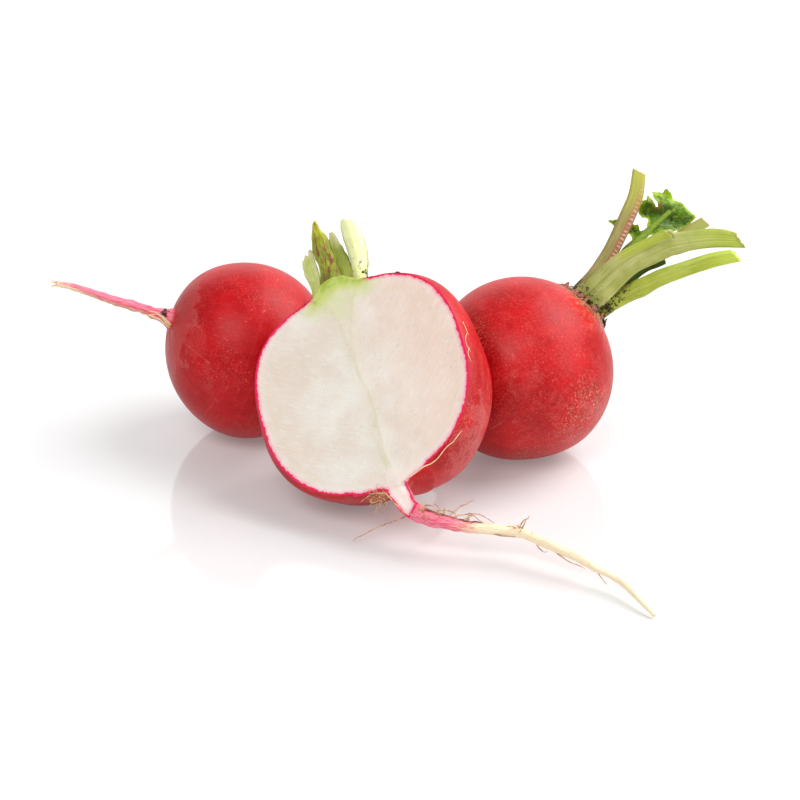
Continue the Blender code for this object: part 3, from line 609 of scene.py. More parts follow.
def leaf_look():
    """Leaf blade: dark glossy green with paler veins and yellow-green edges."""
    look = Look("radish_leaf", IOR=1.33, Coat_Weight=0.12, Coat_Roughness=0.22, Subsurface_Weight=0.08,
                Subsurface_Scale=0.0008)
    place = look.place()
    fine = look.noise(place, 0.5, 4, 0.65)
    look.base = look.blend(look.noise(place, 2.6, 4), 0.35, 0.65, (50, 92, 4), (96, 138, 8))
    look.paint(look.span(fine, 0.52, 0.78), (34, 66, 6), 0.6)
    edge = look.shaken(look.number("edge"), fine, 0.25, 0.3, 0.7)
    look.paint(look.span(edge, 0.30, 1.0), (158, 190, 22), 0.9)
    look.paint(look.span(look.number("vein"), 0.3, 0.9), (150, 172, 60), 0.7)
    look.paint(look.times(look.number("brown"), look.span(fine, 0.30, 0.50)), (112, 70, 40), 0.9)
    dark = look.times(look.number("dark"), look.span(look.noise(place, 0.6, 4, 0.7), 0.40, 0.56))
    look.paint(dark, (18, 30, 8), 0.9)
    net = look.fade(look.cells(place, 0.75, "DISTANCE_TO_EDGE"), 0.0, 0.25)
    height = look.weigh((fine, 0.7), (net, -0.35))
    return look.finish(look.span(fine, 0.3, 0.7, 0.32, 0.50), height, 0.10)


def plain_look(name, first, second, size, rough, height=0.05):
    """Two mixed colours with a fine grain, for fine roots, dry scales and dirt."""
    look = Look(name)
    tone = look.noise(look.place(), size, 4, 0.65)
    look.base = look.blend(tone, 0.35, 0.65, first, second)
    return look.finish(look.span(tone, 0.3, 0.7, rough, rough + 0.15), tone, height)


SKIN = skin_look()
FLESH = flesh_look()
FINE_ROOT = plain_look("radish_fine_root", (222, 184, 134), (160, 108, 66), 0.9, 0.55)
PALE_ROOT = plain_look("radish_pale_root", (250, 226, 184), (232, 188, 140), 0.9, 0.5)
DRY_SCALE = plain_look("radish_dry_scale", (178, 104, 84), (84, 42, 34), 0.7, 0.62)
DIRT = plain_look("radish_dirt", (38, 29, 21), (78, 60, 42), 0.35, 0.85)
BROAD_STALK = stalk_look("radish_broad_stalk", (178, 182, 102), (208, 210, 152), (154, 164, 72), (176, 194, 54),
                         (166, 180, 36), 0.5)
PINK_STALK = stalk_look("radish_pink_stalk", (162, 152, 82), (178, 168, 104), (148, 136, 66), (190, 198, 66),
                        (170, 100, 84), 0.72)
BRIGHT_STALK = stalk_look("radish_bright_stalk", (178, 194, 62), (210, 218, 136), (158, 174, 44), (196, 216, 76),
                          (150, 108, 64), 0.90)
OLIVE_STALK = stalk_look("radish_olive_stalk", (134, 142, 56), (172, 180, 100), (112, 120, 44), (168, 170, 84),
                         (124, 80, 58), 0.75)
STUB_STALK = stalk_look("radish_leaf_stub", (88, 118, 36), (126, 152, 62), (62, 88, 24), (40, 74, 22),
                        (78, 80, 34), 0.8)
# Lime stalk: its flank tone, the round stub's brown strip, is partly painted shade.
LIME_STALK = stalk_look("radish_lime_stalk", (246, 250, 186), (253, 254, 224), (226, 236, 150), (244, 246, 196),
                        (156, 146, 76), 0.93)
MOSS_STALK = stalk_look("radish_moss_stalk", (166, 176, 60), (196, 204, 104), (132, 142, 36), (216, 206, 160),
                        (120, 100, 50), 0.93)
TORN_STALK = stalk_look("radish_torn_stalk", (158, 172, 34), (196, 206, 74), (120, 130, 18), (196, 192, 40),
                        (150, 142, 40), 0.95, (130, 50, 42))
THIN_STALK = stalk_look("radish_thin_stalk", (214, 214, 150), (236, 232, 196), (176, 190, 70), (234, 222, 184),
                        (216, 190, 150), 0.9)
LEAF = leaf_look()


# Whole roots

# How much the crown is flattened, how high the collar around it stands, how far the dry skin and the marks of growth
# reach beyond it, and how far behind a bulb the sections of its taproot still face the bulb's axis.
CROWN_FLATNESS = 0.45
COLLAR_HEIGHT = 0.50
DRY_BAND = 3.6
GROWTH_BAND = 7.5
NECK_LENGTH = 3.5
# The radius at which the grain of a skin is measured around its axis.
SPOT_RADIUS = 6.0
# Where a taproot turns pale, over what length, and how much more so on its underside.
LEFT_PALE = (17.5, 10.0, 0.85)
RIGHT_PALE = (8.0, 8.0, 0.3)
# Marks on the skins: a place, how far the mark reaches from it, and over what distance it fades.
LEFT_SOIL = ((-40.5, 11.2, 23.1), 1.3, 1.0)
RIGHT_UPPER = ((10.5, -3.0, 24.0), 6.5, 5.0)
RIGHT_LOWER = ((31.0, -5.0, 12.0), 9.0, 6.0)
RIGHT_FOOT = ((22.0, -6.0, 2.5), 6.0, 5.0)
HALF_SCUFF = ((11.5, -22.0, 15.0), 13.0, 9.0)


def bulb_stations(centre, axis, radius, crown_radius, root_radius, taper=0.0):
    """Points and radii down a turned bulb, from the middle of its crown to where the taproot starts."""
    first = math.asin(crown_radius / radius)
    angle = np.linspace(0.004, math.pi - math.asin(root_radius / radius), BULB_RINGS)
    reach = radius * np.cos(angle)
    flat = radius * math.cos(first)
    reach = np.where(angle < first, flat + (reach - flat) * CROWN_FLATNESS, reach)
    towards_root = np.maximum(0.0, -np.cos(angle))
    girth = radius * np.sin(angle) * (1 - taper * towards_root ** 2 * np.sin(angle))
    return np.column_stack((centre - axis * reach[:, None], girth))


def tail_bumps(rings, centres, spot, amount):
    """Small swellings and scars along a taproot."""
    outward = unit(rings - centres[:, None] + 1e-9)
    bumps = grain(spot, 1.1, 3.0, (0.25, 0.25, 1.0)) + 0.6 * grain(spot, 0.6, 8.0, (0.45, 0.45, 0.5))
    return rings + outward * (bumps * amount)[..., None]


def root_piece(name, node, bulb, tail, centre, axis, crown_radius, settle, turns_pale, marks):
    """A whole root: its turned bulb and its taproot as one skin, with folds at its crown and its root."""
    stations = np.concatenate((bulb, smooth_route([tuple(bulb[-1]), *tail], TAIL_RINGS)[1:]))
    centres, radii = stations[:, :3], stations[:, 3]
    row = np.arange(len(stations))[:, None]
    on_bulb = row < BULB_RINGS
    along = run_lengths(centres)
    run = np.maximum(0.0, along - along[BULB_RINGS - 1])[:, None]
    hold = 1 - ease(run / NECK_LENGTH)
    tangents = unit(tangents_along(centres) * (1 - hold) + axis * hold)
    across, front = frames_along(tangents, unit(np.cross(centres[4] - centres[0], UP)))
    rings = sections(centres, across, front, radii, radii, BULB_SIDES)
    along = along + radii * on_bulb[:, 0]
    spot = growth_spot(BULB_SIDES, along, SPOT_RADIUS)

    offset = rings - centre
    reach = offset @ axis
    girth = np.linalg.norm(offset - reach[..., None] * axis, axis=-1)
    at_crown = on_bulb & (reach < 0)
    crown = at_crown * ease((crown_radius + DRY_BAND - girth) / DRY_BAND)
    near_root = (on_bulb & (reach > 0)) * ease((6.5 - girth) / 5.0)
    folds = grain(growth_spot(BULB_SIDES, along * 0.12, 3.2), 0.8, 5.0)
    ripples = grain(growth_spot(BULB_SIDES, along, 0.8), 0.9, 9.0)
    collar = at_crown * np.exp(-((girth - crown_radius - 0.5) / 0.7) ** 2)
    height = folds * (0.30 * crown + 0.10 * near_root) + ripples * 0.10 * (near_root + 0.5 * crown)
    height = height + COLLAR_HEIGHT * collar * (0.7 + 0.6 * folds)
    rings = settle(rings + unit(offset) * (height * on_bulb)[..., None])
    amount = ease((row - BULB_RINGS) / 10.0) * np.minimum(0.18, radii * 0.20)[:, None]
    rings = tail_bumps(rings, rings.mean(1), spot, amount)
    rings[..., 2] = np.maximum(rings[..., 2], 0.0)

    underside = ease(0.5 - 1.2 * unit(rings - rings.mean(1)[:, None] + 1e-9)[..., 2])
    start, length, under = turns_pale
    stored = {
        "spot": spot, "crown": crown, "near": at_crown * ease((crown_radius + GROWTH_BAND - girth) / 6.0),
        "tail": ease((run + 0.2) / 1.6) * (row >= BULB_RINGS - 1) * np.ones(BULB_SIDES),
        "pale": clamp(ease((run - start) / length + 0.5) + under * (underside - 0.3)),
        "rust": underside * ease((run - 1.5) / 2.0) * under, **marks(rings, girth, reach),
    }
    return loft_piece(name, node, rings, [SKIN], stored, sharp=False)


def settle_left(rings):
    offset = rings - LEFT_CENTRE
    distance = np.linalg.norm(offset, axis=-1)
    fade = clamp((1 - distance / LEFT_RADIUS) / LEFT_SQUAT_FADE + 1)
    squeeze = LEFT_SQUAT * fade * np.maximum(0.0, offset @ LEFT_SQUAT_SIDE)
    return lumpy(rings - LEFT_SQUAT_SIDE * squeeze[..., None], LEFT_CENTRE, LEFT_RADIUS)


def settle_right(rings):
    on_bulb = np.linalg.norm(rings - RIGHT_CENTRE, axis=-1) <= RIGHT_RADIUS * RIGHT_BULB_END
    towards_half = unit(half_point(*HALF_MIDDLE) - RIGHT_CENTRE)
    moved = flattened(lumpy(rings, RIGHT_CENTRE, RIGHT_RADIUS), RIGHT_CENTRE, towards_half, RIGHT_REACH)
    return np.where(on_bulb[..., None], moved, rings)


def left_marks(rings, girth, reach):
    """A paler bloom around the root, and soil where the taproot leaves the bulb."""
    bloom = (reach > 0) * ease((11.5 - girth) / 5.0)
    return {"bloom": bloom, "brown": np.zeros(girth.shape), "dirt": 0.9 * close_to(rings, *LEFT_SOIL)}


def right_marks(rings, girth, reach):
    """Brown mottling on its upper left and lower right."""
    upper, lower, foot = (close_to(rings, *mark) for mark in (RIGHT_UPPER, RIGHT_LOWER, RIGHT_FOOT))
    brown = np.maximum.reduce((upper, 0.8 * lower, 0.8 * foot)) + 0.12
    return {"bloom": 0.35 * lower, "brown": clamp(brown), "dirt": np.zeros(girth.shape)}


def make_whole_roots():
    bulb = bulb_stations(LEFT_CENTRE, LEFT_AXIS, LEFT_RADIUS, LEFT_CROWN_RADIUS, LEFT_ROOT_RADIUS)
    left = root_piece("left_radish", "left_root", bulb, LEFT_TAIL, LEFT_CENTRE, LEFT_AXIS, LEFT_CROWN_RADIUS,
                      settle_left, LEFT_PALE, left_marks)
    bulb = bulb_stations(RIGHT_CENTRE, RIGHT_AXIS, RIGHT_RADIUS, RIGHT_CROWN_RADIUS, RIGHT_ROOT_RADIUS, RIGHT_TAPER)
    right = root_piece("right_radish", "right_root", bulb, RIGHT_TAIL, RIGHT_CENTRE, RIGHT_AXIS, RIGHT_CROWN_RADIUS,
                       settle_right, RIGHT_PALE, right_marks)
    return left, right


# The half. Its inner lines lie in the cut face: across and along, both from the middle of the face.
CORE_LINES = (
    ((3.7, -17.7), (3.2, -17.1), (1.9, -15.7), (1.0, -13.4), (0.6, -10.4), (0.4, -6.6), (0.1, -3.4), (-0.4, 0.2),
     (-0.9, 3.8), (-0.5, 8.2), (-0.3, 12.0), (-0.8, 15.5), (-1.4, 19.1), (-2.0, 20.8)),
    ((-3.7, -16.7), (-2.4, -14.7), (-1.3, -11.5), (-0.3, -8.2), (0.0, -4.3)),
    ((-0.6, 6.0), (0.4, 8.1), (0.2, 11.8), (-0.2, 15.6), (0.1, 16.9)),
)
GREEN_CROWN = ((3.8, -18.6), (2.6, -19.4), (1.2, -20.0), (-0.3, -20.3), (-1.8, -20.0), (-3.4, -19.6), (-5.0, -18.9))
BROWN_SCARS = ((5.3, -18.5), (6.3, -18.0), (7.4, -17.4), (-6.3, -18.4), (-7.2, -18.1), (-11.4, -16.6))
CROWN_MIDDLE = (-0.4, -19.0)
# How steeply the streaks of cells rise from the core to the rim, and where the taproot's dirty side looks.
CELL_SLOPE = math.radians(38)
DIRTY_SIDE = unit(np.array((0.3, 0.6, 0.75)))


def half_rows():
    rows = [(*half_point(0.0, along, 0.0), girth, 0.0, 1.0) for girth, along in CROWN_DOME]
    for ring in range(HALF_RINGS):
        angle = HALF_CROWN_ANGLE + (HALF_ROOT_ANGLE - HALF_CROWN_ANGLE) * ring / (HALF_RINGS - 1)
        power = 2 / (HALF_CROWN_BLUNTNESS if angle < math.pi / 2 else HALF_ROOT_BLUNTNESS)
        along = -HALF_LENGTH * math.copysign(abs(math.cos(angle)) ** power, math.cos(angle))
        rows.append((*half_point(0.0, along, 0.0), HALF_RADIUS * math.sin(angle) ** power, 0.0, 1.0))
    rows += [(*half_point(across, along, 0.0), girth, 0.0, bulb) for across, along, girth, bulb in HALF_NECK]
    rows += [(x, y, z, girth, max(0.0, whole), 0.0) for x, y, z, girth, whole in smooth_route(HALF_TAIL, 26)]
    return smooth_route(rows, HALF_ROWS)


def half_measures(rows):
    """Each section's middle, its radius, how much of its front is there, and how much it belongs to the bulb."""
    return rows[:, :3], rows[:, 3:4], clamp(rows[:, 4:5]), clamp(rows[:, 5:6])


def half_shape(rows):
    """The half's sections, as in the solid, and how deep each of their points lies behind the cut plane."""
    centres, girth, whole, bulb = half_measures(rows)
    hold = clamp(2.5 * bulb)
    tangents = unit(tangents_along(centres) * (1 - hold) + HALF_AXIS * hold)
    across, front = frames_along(tangents, HALF_ACROSS)
    edge = math.asin(HALF_OFFSET / HALF_FRONT_DEPTH)
    cut_turn = edge + (math.pi - 2 * edge) * np.arange(CUT_SIDES) / CUT_SIDES
    back_turn = math.pi - edge + (math.pi + 2 * edge) * np.arange(BULB_SIDES) / BULB_SIDES
    turn = np.concatenate((cut_turn, back_turn))
    x = girth * np.cos(turn) * (1 + (HALF_WIDEN - 1) * bulb)
    depth = 1 + (np.where(np.sin(turn) > 0, HALF_FRONT_DEPTH, HALF_BACK_DEPTH) - 1) * bulb
    out = girth * (depth * np.sin(turn) - HALF_OFFSET * bulb)
    out = np.where(out > 0, out * whole, out)
    rootness = np.maximum(0.0, (centres - HALF_CENTRE) @ HALF_AXIS / HALF_LENGTH) ** HALF_HANG_POWER
    behind = 1 - np.exp(np.minimum(0.0, out) / HALF_HANG_DEPTH)
    hang = HALF_HANG * bulb * rootness[:, None] * clamp(HALF_HANG_START - np.cos(turn)) * behind
    rings = centres[:, None] + across[:, None] * x[..., None] + front[:, None] * out[..., None]
    rings = rings + tangents[:, None] * hang[..., None]

    middle = half_point(*HALF_MIDDLE)
    on_bulb = np.linalg.norm(rings - middle, axis=-1) <= HALF_RADIUS * HALF_BULB_END
    deep = (HALF_CENTRE - rings) @ HALF_FRONT
    moved = rings + (lumpy(rings, middle, HALF_RADIUS) - rings) * ease((deep - 0.05) / 1.5)[..., None]
    downness = clamp((-unit(moved - middle)[..., 2] - HALF_SAG_CONE) / (1 - HALF_SAG_CONE))
    moved = moved - UP * (HALF_SAG * downness ** HALF_SAG_POWER)[..., None]
    moved = flattened(moved, middle, unit(RIGHT_CENTRE - middle), HALF_REACH)
    rings = np.where((on_bulb & (deep > 0.05))[..., None], moved, rings)
    return rings, deep, on_bulb


def make_half():
    rows = half_rows()
    centres, girth, whole, bulb = half_measures(rows)
    rings, deep, on_bulb = half_shape(rows)
    sides = CUT_SIDES + BULB_SIDES
    side = np.arange(sides)
    in_cut = side <= CUT_SIDES
    run = run_lengths(centres)
    along = (rings - HALF_CENTRE) @ HALF_AXIS
    across = (rings - HALF_CENTRE) @ HALF_ACROSS
    flat = np.stack((across, along), -1)
    spot = growth_spot(sides, run, SPOT_RADIUS)

    outward = unit(rings - centres[:, None] + 1e-9)
    aside = np.linalg.norm(flat - np.array(CROWN_MIDDLE), axis=-1)
    from_crown = np.hypot(aside, np.maximum(0.0, deep - 2.5))
    crown = ease((7.6 - from_crown) / 2.6) * (along < -10)
    folds = 0.18 * grain(growth_spot(sides, run * 0.15, 3.2), 0.8, 15.0)
    rings = rings + outward * (folds * crown * ease((deep - 0.3) / 2.0) * on_bulb)[..., None]
    on_tail = ease((0.35 - bulb) / 0.3) * (np.arange(len(rows)) > len(rows) // 2)[:, None]
    tail_run = (run - run[np.argmax(on_tail > 0.5)])[:, None]
    rough_share = np.where(in_cut & (side > 0), whole, 1.0)
    rings = tail_bumps(rings, centres, spot, on_tail * np.minimum(0.16, girth * 0.15) * rough_share)

    flat_rows = whole[:, 0] < 0.35
    outline = np.concatenate((flat[flat_rows, 0], flat[flat_rows, CUT_SIDES][::-1]))[::2]
    rim = line_distance(flat, outline)
    core = np.minimum.reduce([line_distance(flat, line) for line in CORE_LINES])
    relief = 0.07 * grain(rings, 3.2, 2.0) + 0.03 * grain(rings, 0.9, 6.0)
    relief = (relief + 0.05 * np.exp(-(core / 0.7) ** 2) - 0.06) * ease(rim / 0.8)
    rings = rings + HALF_FRONT * (relief * (in_cut & flat_rows[:, None]))[..., None]
    rings[..., 2] = np.maximum(rings[..., 2], 0.0)
    looks = np.ones((len(rows) + 1, sides), int)
    looks[:-2][flat_rows[:-1] & flat_rows[1:], :CUT_SIDES] = 0

    from_core = np.abs(across + 0.2)
    cells = np.stack((from_core * math.cos(CELL_SLOPE) - along * math.sin(CELL_SLOPE),
                      from_core * math.sin(CELL_SLOPE) + along * math.cos(CELL_SLOPE),
                      3.0 * np.tanh((across + 0.2) / 4.0)), -1)
    neck = ease((along - 14.5) / 4.5)
    funnel = np.exp(-((across + 0.3) / (1.0 + 0.42 * np.maximum(0.0, -9.0 - along))) ** 2)
    green = clamp(1.28 - line_distance(flat, GREEN_CROWN) / 4.3)
    no_red = ease((5.4 - np.abs(across + 0.7)) / 1.2) * ease((-15.0 - along) / 3.0)
    scar = np.maximum.reduce([np.exp(-np.sum((flat - place) ** 2, -1) / 1.1) for place in BROWN_SCARS])
    upper = ease((rings - centres[:, None]) @ DIRTY_SIDE / np.maximum(girth, 0.2) + 0.1)
    rust = ease((tail_run + 1.0) / 1.5) * ease((9.0 - tail_run) / 4.0) * ease(-across - 0.2)
    scuffed = close_to(rings, *HALF_SCUFF)
    stored = {
        "spot": spot, "cells": cells, "rim": rim, "neck": neck, "core": core + 2.5 * neck,
        "green": np.maximum(green, 0.50 * funnel * ease((-7.0 - along) / 9.0)),
        "side": -across, "redness": 1 - no_red, "scar": scar,
        "crown": crown * ~in_cut, "near": ease((13.0 - from_crown) / 6.0),
        "tail": on_tail * ease((tail_run + 0.8) / 1.6) * np.ones(sides),
        "pale": clamp(ease((tail_run - 14.5) / 10.0 + 0.5) + 0.25 * (0.5 - upper)),
        "dirt": 0.80 * upper * ease((tail_run - 5.0) / 2.0) * ease((21.0 - tail_run) / 6.0),
        "rust": upper * (rust + 0.25 * ease((tail_run - 3.0) / 3.0)),
        "bloom": 0.62 * scuffed, "brown": 0.40 * scuffed,
    }
    return loft_piece("half_radish", "half_root", rings, [FLESH, SKIN], stored, face_looks=looks.ravel())


# Stalks

STALK_FIELDS = ("share", "flank", "ridge", "dirt", "stain", "torn")
# The rings that close a stalk's cut end: their size, and how far each is sunk below it.
END_SIZES = np.array((0.88, 0.6, 0.3, 0.02))
END_DROPS = (0.02, 0.16, 0.2, 0.2)


def finish_stalk(name, node, look, points, tangent, fields, spot, seed, ragged):
    """Closes a stalk with a slightly hollow, uneven cut end, and stores what its material reads."""
    last = points[-1]
    middle = last.mean(0)
    inner = []
    for size, drop in zip(END_SIZES, END_DROPS):
        ring = middle + (last - middle) * size - tangent * drop
        inner.append(ring + tangent * (0.5 * ragged * grain(ring, 0.35, seed + 2))[:, None])
    end_spot = np.repeat(spot[-1:], len(inner), axis=0)
    end_spot[..., :2] *= END_SIZES[:, None, None]
    stored = {"spot": np.concatenate((spot, end_spot))}
    for key in STALK_FIELDS:
        values = fields.get(key, 0.0) * np.ones(points.shape[:2])
        end = np.repeat(values[-1:], len(inner), axis=0)
        stored[key] = np.concatenate((values, np.ones(end.shape) if key == "share" else end))
    return loft_piece(name, node, np.concatenate((points, np.array(inner))), [look], stored)


def stalk_piece(name, node, look, route, start_tangent, flank=(1.0, 0.0), dirt=(0.5, 2.0), ragged=0.2, seed=0.0,
                groove=0.45, ribs=0.0, slant=0.0, sides=40, rings=60, sink=1.3, form=None):
    """A leaf stalk, as in the solids but finer, with its start sunk into the crown."""
    rows = smooth_route(np.array(route, float), rings)
    first = rows[0].copy()
    first[:3] -= start_tangent * sink
    rows = np.concatenate((first[None], rows))
    centres = rows[:, :3]
    tangents = tangents_along(centres)
    tangents[0] = start_tangent
    across, front = frames_along(tangents, np.cross(start_tangent, VIEWER))
    along = run_lengths(centres)
    share = (along / along[-1])[:, None]
    turn = turns(sides)[None]
    width = np.where(np.cos(turn) > 0, rows[:, 4:5], rows[:, 3:4])
    depth = rows[:, 5:6] * np.sin(turn)
    depth = np.where(depth > 0, depth * (1 - groove * np.sin(turn) ** 2), depth)
    x = width * np.cos(turn)
    spot = np.stack(np.broadcast_arrays(x, depth, along[:, None]), -1)
    ridge = 1 + ribs * np.cos(turn * 14) * ease(share * 6)
    extra, fields = form(turn, share, centres[:, :1], spot) if form else (0.0, {})
    wobble = grain(spot, 1.6, seed, (1.0, 1.0, 0.25)) * ease(share * 8)
    points = centres[:, None] + across[:, None] * (x * ridge)[..., None]
    points = points + front[:, None] * (depth * ridge)[..., None]
    outward = unit(points - centres[:, None])
    points = points + outward * (0.06 * wobble + extra)[..., None]
    lift = slant * np.cos(turn) * width * ease((share - 0.93) / 0.07)
    lift = lift + ragged * grain(spot, 0.5, seed + 4, (1.0, 1.0, 0.15)) * ease((share - 0.9) / 0.1)
    points = points + tangents[:, None] * lift[..., None]
    near, far = dirt
    values = {
        "share": share, "dirt": ease((far - along) / (far - near))[:, None],
        "flank": 0.5 + 0.5 * (np.cos(turn) * flank[0] + np.sin(turn) * flank[1]), **fields,
    }
    return finish_stalk(name, node, look, points, tangents[-1], values, spot, seed, ragged)


# Each stalk's start on the right crown (to the right and away) and its route. Both end with two half widths, to
# either side, and a half depth.
RIGHT_STALKS = {
    "right_stalk_1": ((-2.2, 0.9, 1.1, 1.1, 1.0), (
        (33.2, 13.6, 29.2, 1.3, 1.3, 1.1), (35.8, 15.4, 32.5, 1.35, 1.35, 1.1),
        (37.5, 17.0, 35.4, 1.35, 1.4, 1.1), (39.1, 18.6, 38.5, 1.35, 1.4, 1.0),
        (40.5, 20.2, 41.6, 1.3, 1.3, 1.0), (41.1, 21.9, 45.1, 1.2, 1.1, 0.9))),
    "right_stalk_2": ((-0.1, -2.4, 2.7, 2.6, 1.0), (
        (33.5, 9.1, 28.1, 2.6, 2.4, 1.05), (35.4, 9.5, 29.9, 2.45, 2.3, 1.05),
        (39.0, 10.0, 33.0, 2.1, 2.0, 1.0), (42.7, 10.2, 35.0, 2.05, 2.1, 0.95),
        (45.4, 10.3, 36.3, 2.15, 2.1, 0.9), (46.8, 10.3, 36.6, 1.75, 2.0, 0.85),
        (49.4, 10.1, 37.1, 1.65, 1.65, 0.8), (53.1, 9.8, 37.6, 1.6, 1.6, 0.75),
        (57.2, 9.2, 37.6, 1.2, 1.35, 0.6))),
    "right_stalk_3": ((3.0, 0.5, 1.1, 1.2, 1.0), (
        (35.9, 10.4, 25.3, 1.3, 1.4, 1.1), (37.6, 10.4, 26.5, 1.4, 1.5, 1.1),
        (40.2, 10.1, 28.2, 1.45, 1.55, 1.1), (42.5, 9.7, 29.5, 1.45, 1.45, 1.1),
        (44.8, 9.3, 30.8, 1.45, 1.4, 1.1), (48.8, 8.6, 32.7, 1.3, 1.35, 1.0),
        (52.7, 7.9, 34.3, 1.3, 1.3, 0.95), (56.6, 7.2, 35.5, 1.1, 1.15, 0.8))),
    "right_stalk_4": ((0.7, 3.1, 0.75, 0.75, 0.65), (
        (36.4, 14.3, 26.3, 0.8, 0.8, 0.7), (38.9, 15.3, 28.7, 0.85, 0.85, 0.75),
        (44.7, 17.3, 32.6, 0.9, 0.9, 0.8), (49.9, 18.9, 35.5, 1.0, 1.0, 0.8),
        (52.6, 19.8, 36.8, 1.0, 1.0, 0.7))),
    "right_leaf_stub": ((2.3, 2.4, 0.55, 0.55, 0.45), (
        (36.3, 12.2, 25.8, 0.55, 0.55, 0.5), (38.8, 12.2, 28.3, 0.5, 0.5, 0.45),
        (41.8, 12.5, 30.8, 0.5, 0.55, 0.45), (43.8, 12.6, 31.9, 0.75, 0.75, 0.45),
        (45.2, 12.8, 32.5, 0.6, 0.75, 0.35))),
    "right_leaf": ((-1.1, 3.5, 0.7, 0.7, 0.6), (
        (35.2, 16.1, 27.2, 0.75, 0.75, 0.65), (36.9, 17.0, 29.4, 0.75, 0.75, 0.65),
        (39.2, 18.3, 32.3, 0.7, 0.7, 0.6), (42.2, 19.8, 34.3, 0.6, 0.6, 0.55),
        (44.0, 21.0, 35.7, 0.5, 0.5, 0.5), (46.7, 22.6, 37.7, 0.4, 0.4, 0.4))),
}
RIDGE_PITCH = 0.74
LIP_HEIGHT = 0.36
LIP_END = 46.1
SWELL_PLACE = 41.0


def crown_place(side, deep):
    crown = -RIGHT_AXIS
    down_right = unit(np.cross(crown, VIEWER))
    away = np.cross(crown, down_right)
    return RIGHT_CENTRE + crown * (RIGHT_RADIUS - CROWN_SINK) + down_right * side + away * deep


def crown_route(node):
    (side, deep, *measures), route = RIGHT_STALKS[node]
    return [(*crown_place(side, deep), *measures), *route]


def ridged_form(turn, share, x, spot):
    """Fine cross ridges on a band along the front of the slim stalk, and a dark edge beside them."""
    cos, sin = np.cos(turn), np.sin(turn)
    band = ease((cos - 0.18) / 0.2) * ease((0.86 - cos) / 0.12) * ease((sin + 0.1) / 0.3)
    band = band * ease((share - 0.20) / 0.06) * ease((0.93 - share) / 0.06)
    shifted = spot[..., 2] + 0.22 * grain(spot, 0.9, 51.0)
    beat = band * (0.5 + 0.5 * np.cos(2 * math.pi * shifted / RIDGE_PITCH)) ** 2
    edge = np.exp(-((cos - 0.94) / 0.06) ** 2) * ease((share - 0.1) / 0.1)
    strength = 0.75 + 0.5 * grain(spot, 1.5, 52.0)
    return 0.07 * beat, {"ridge": beat * strength, "stain": 0.50 * edge, "flank": 0.86 * ease((cos + 0.55) / 0.9)}


def lipped_form(turn, share, x, spot):
    """A raised strip along the top of the broad stalk, which ends torn across, with fibres beyond it."""
    cos, sin = np.cos(turn), np.sin(turn)
    past_end = x + 0.2 * np.sin(turn * 5) + 0.4 * grain(spot, 0.7, 61.0) - LIP_END
    on_strip = ease((-cos - 0.30) / 0.16) * ease((sin + 0.5) / 0.3)
    before = ease(-past_end / 0.22)
    lip = LIP_HEIGHT * on_strip * before * ease((x - 34.0) / 4.0)
    tear = np.exp(-((past_end - 0.15) / 0.22) ** 2) + 0.35 * np.exp(-((past_end + 0.7) / 0.6) ** 2)
    seam = np.exp(-((cos + 0.30) / 0.05) ** 2) * (sin > 0) * before
    rim = ease((share - 0.975) / 0.02)
    wavy = turn * 22 + 3 * grain(spot, 1.5, 62.0, (1.0, 1.0, 0.05))
    ribs = 0.05 * (0.5 + 0.5 * np.cos(wavy)) * (sin > -0.2) * ease(share * 5)
    bright = on_strip * before * (0.35 + 0.65 * ease((x - 36.5) / 5.0))
    # Painted shade: a dark line under the strip's torn end and along its seam, and a dark band at the cut end.
    stain = clamp(0.60 * on_strip * tear + 0.30 * seam + 0.4 * rim)
    return lip + ribs, {"stain": stain, "flank": 0.9 * bright}


def swollen_form(turn, share, x, spot):
    """A bump low on the underside of the lower stalk."""
    bump = np.exp(-((x - SWELL_PLACE) / 1.3) ** 2) * ease((np.cos(turn) - 0.2) / 0.5)
    edge = ease((-np.cos(turn) - 0.55) / 0.35) * ease((0.62 - share) / 0.3)
    return 0.28 * bump + 0.03 * np.cos(turn * 9) * (np.sin(turn) > 0), {"flank": edge}


def make_right_stalks():
    made = []
    for node, name, look, options in (
            ("right_stalk_1", "slim_pink_stalk", PINK_STALK,
             {"flank": (1.0, 0.1), "dirt": (2.5, 8.0), "seed": 1.0, "groove": 0.3, "slant": -0.35, "rings": 170,
              "sides": 56, "form": ridged_form}),
            ("right_stalk_2", "broad_ribbed_stalk", BROAD_STALK,
             {"dirt": (0.0, 10.0), "seed": 2.0, "groove": 0.5, "slant": 0.85, "sides": 132, "rings": 150,
              "ragged": 0.45, "form": lipped_form}),
            ("right_stalk_3", "lower_bright_stalk", BRIGHT_STALK,
             {"flank": (-1.0, 0.25), "dirt": (1.5, 15.0), "seed": 3.0, "groove": 0.3, "slant": 0.6, "rings": 110,
              "sides": 56, "ragged": 0.3, "form": swollen_form}),
            ("right_stalk_4", "olive_stalk", OLIVE_STALK,
             {"flank": (-1.0, 0.0), "dirt": (1.0, 4.0), "seed": 4.0, "groove": 0.4, "slant": 0.3, "rings": 70}),
            ("right_leaf_stub", "short_leaf_stub", STUB_STALK,
             {"dirt": (3.0, 12.0), "seed": 5.0, "groove": 0.6})):
        made.append(stalk_piece(name, node, look, crown_route(node), -RIGHT_AXIS, **options))
    return made


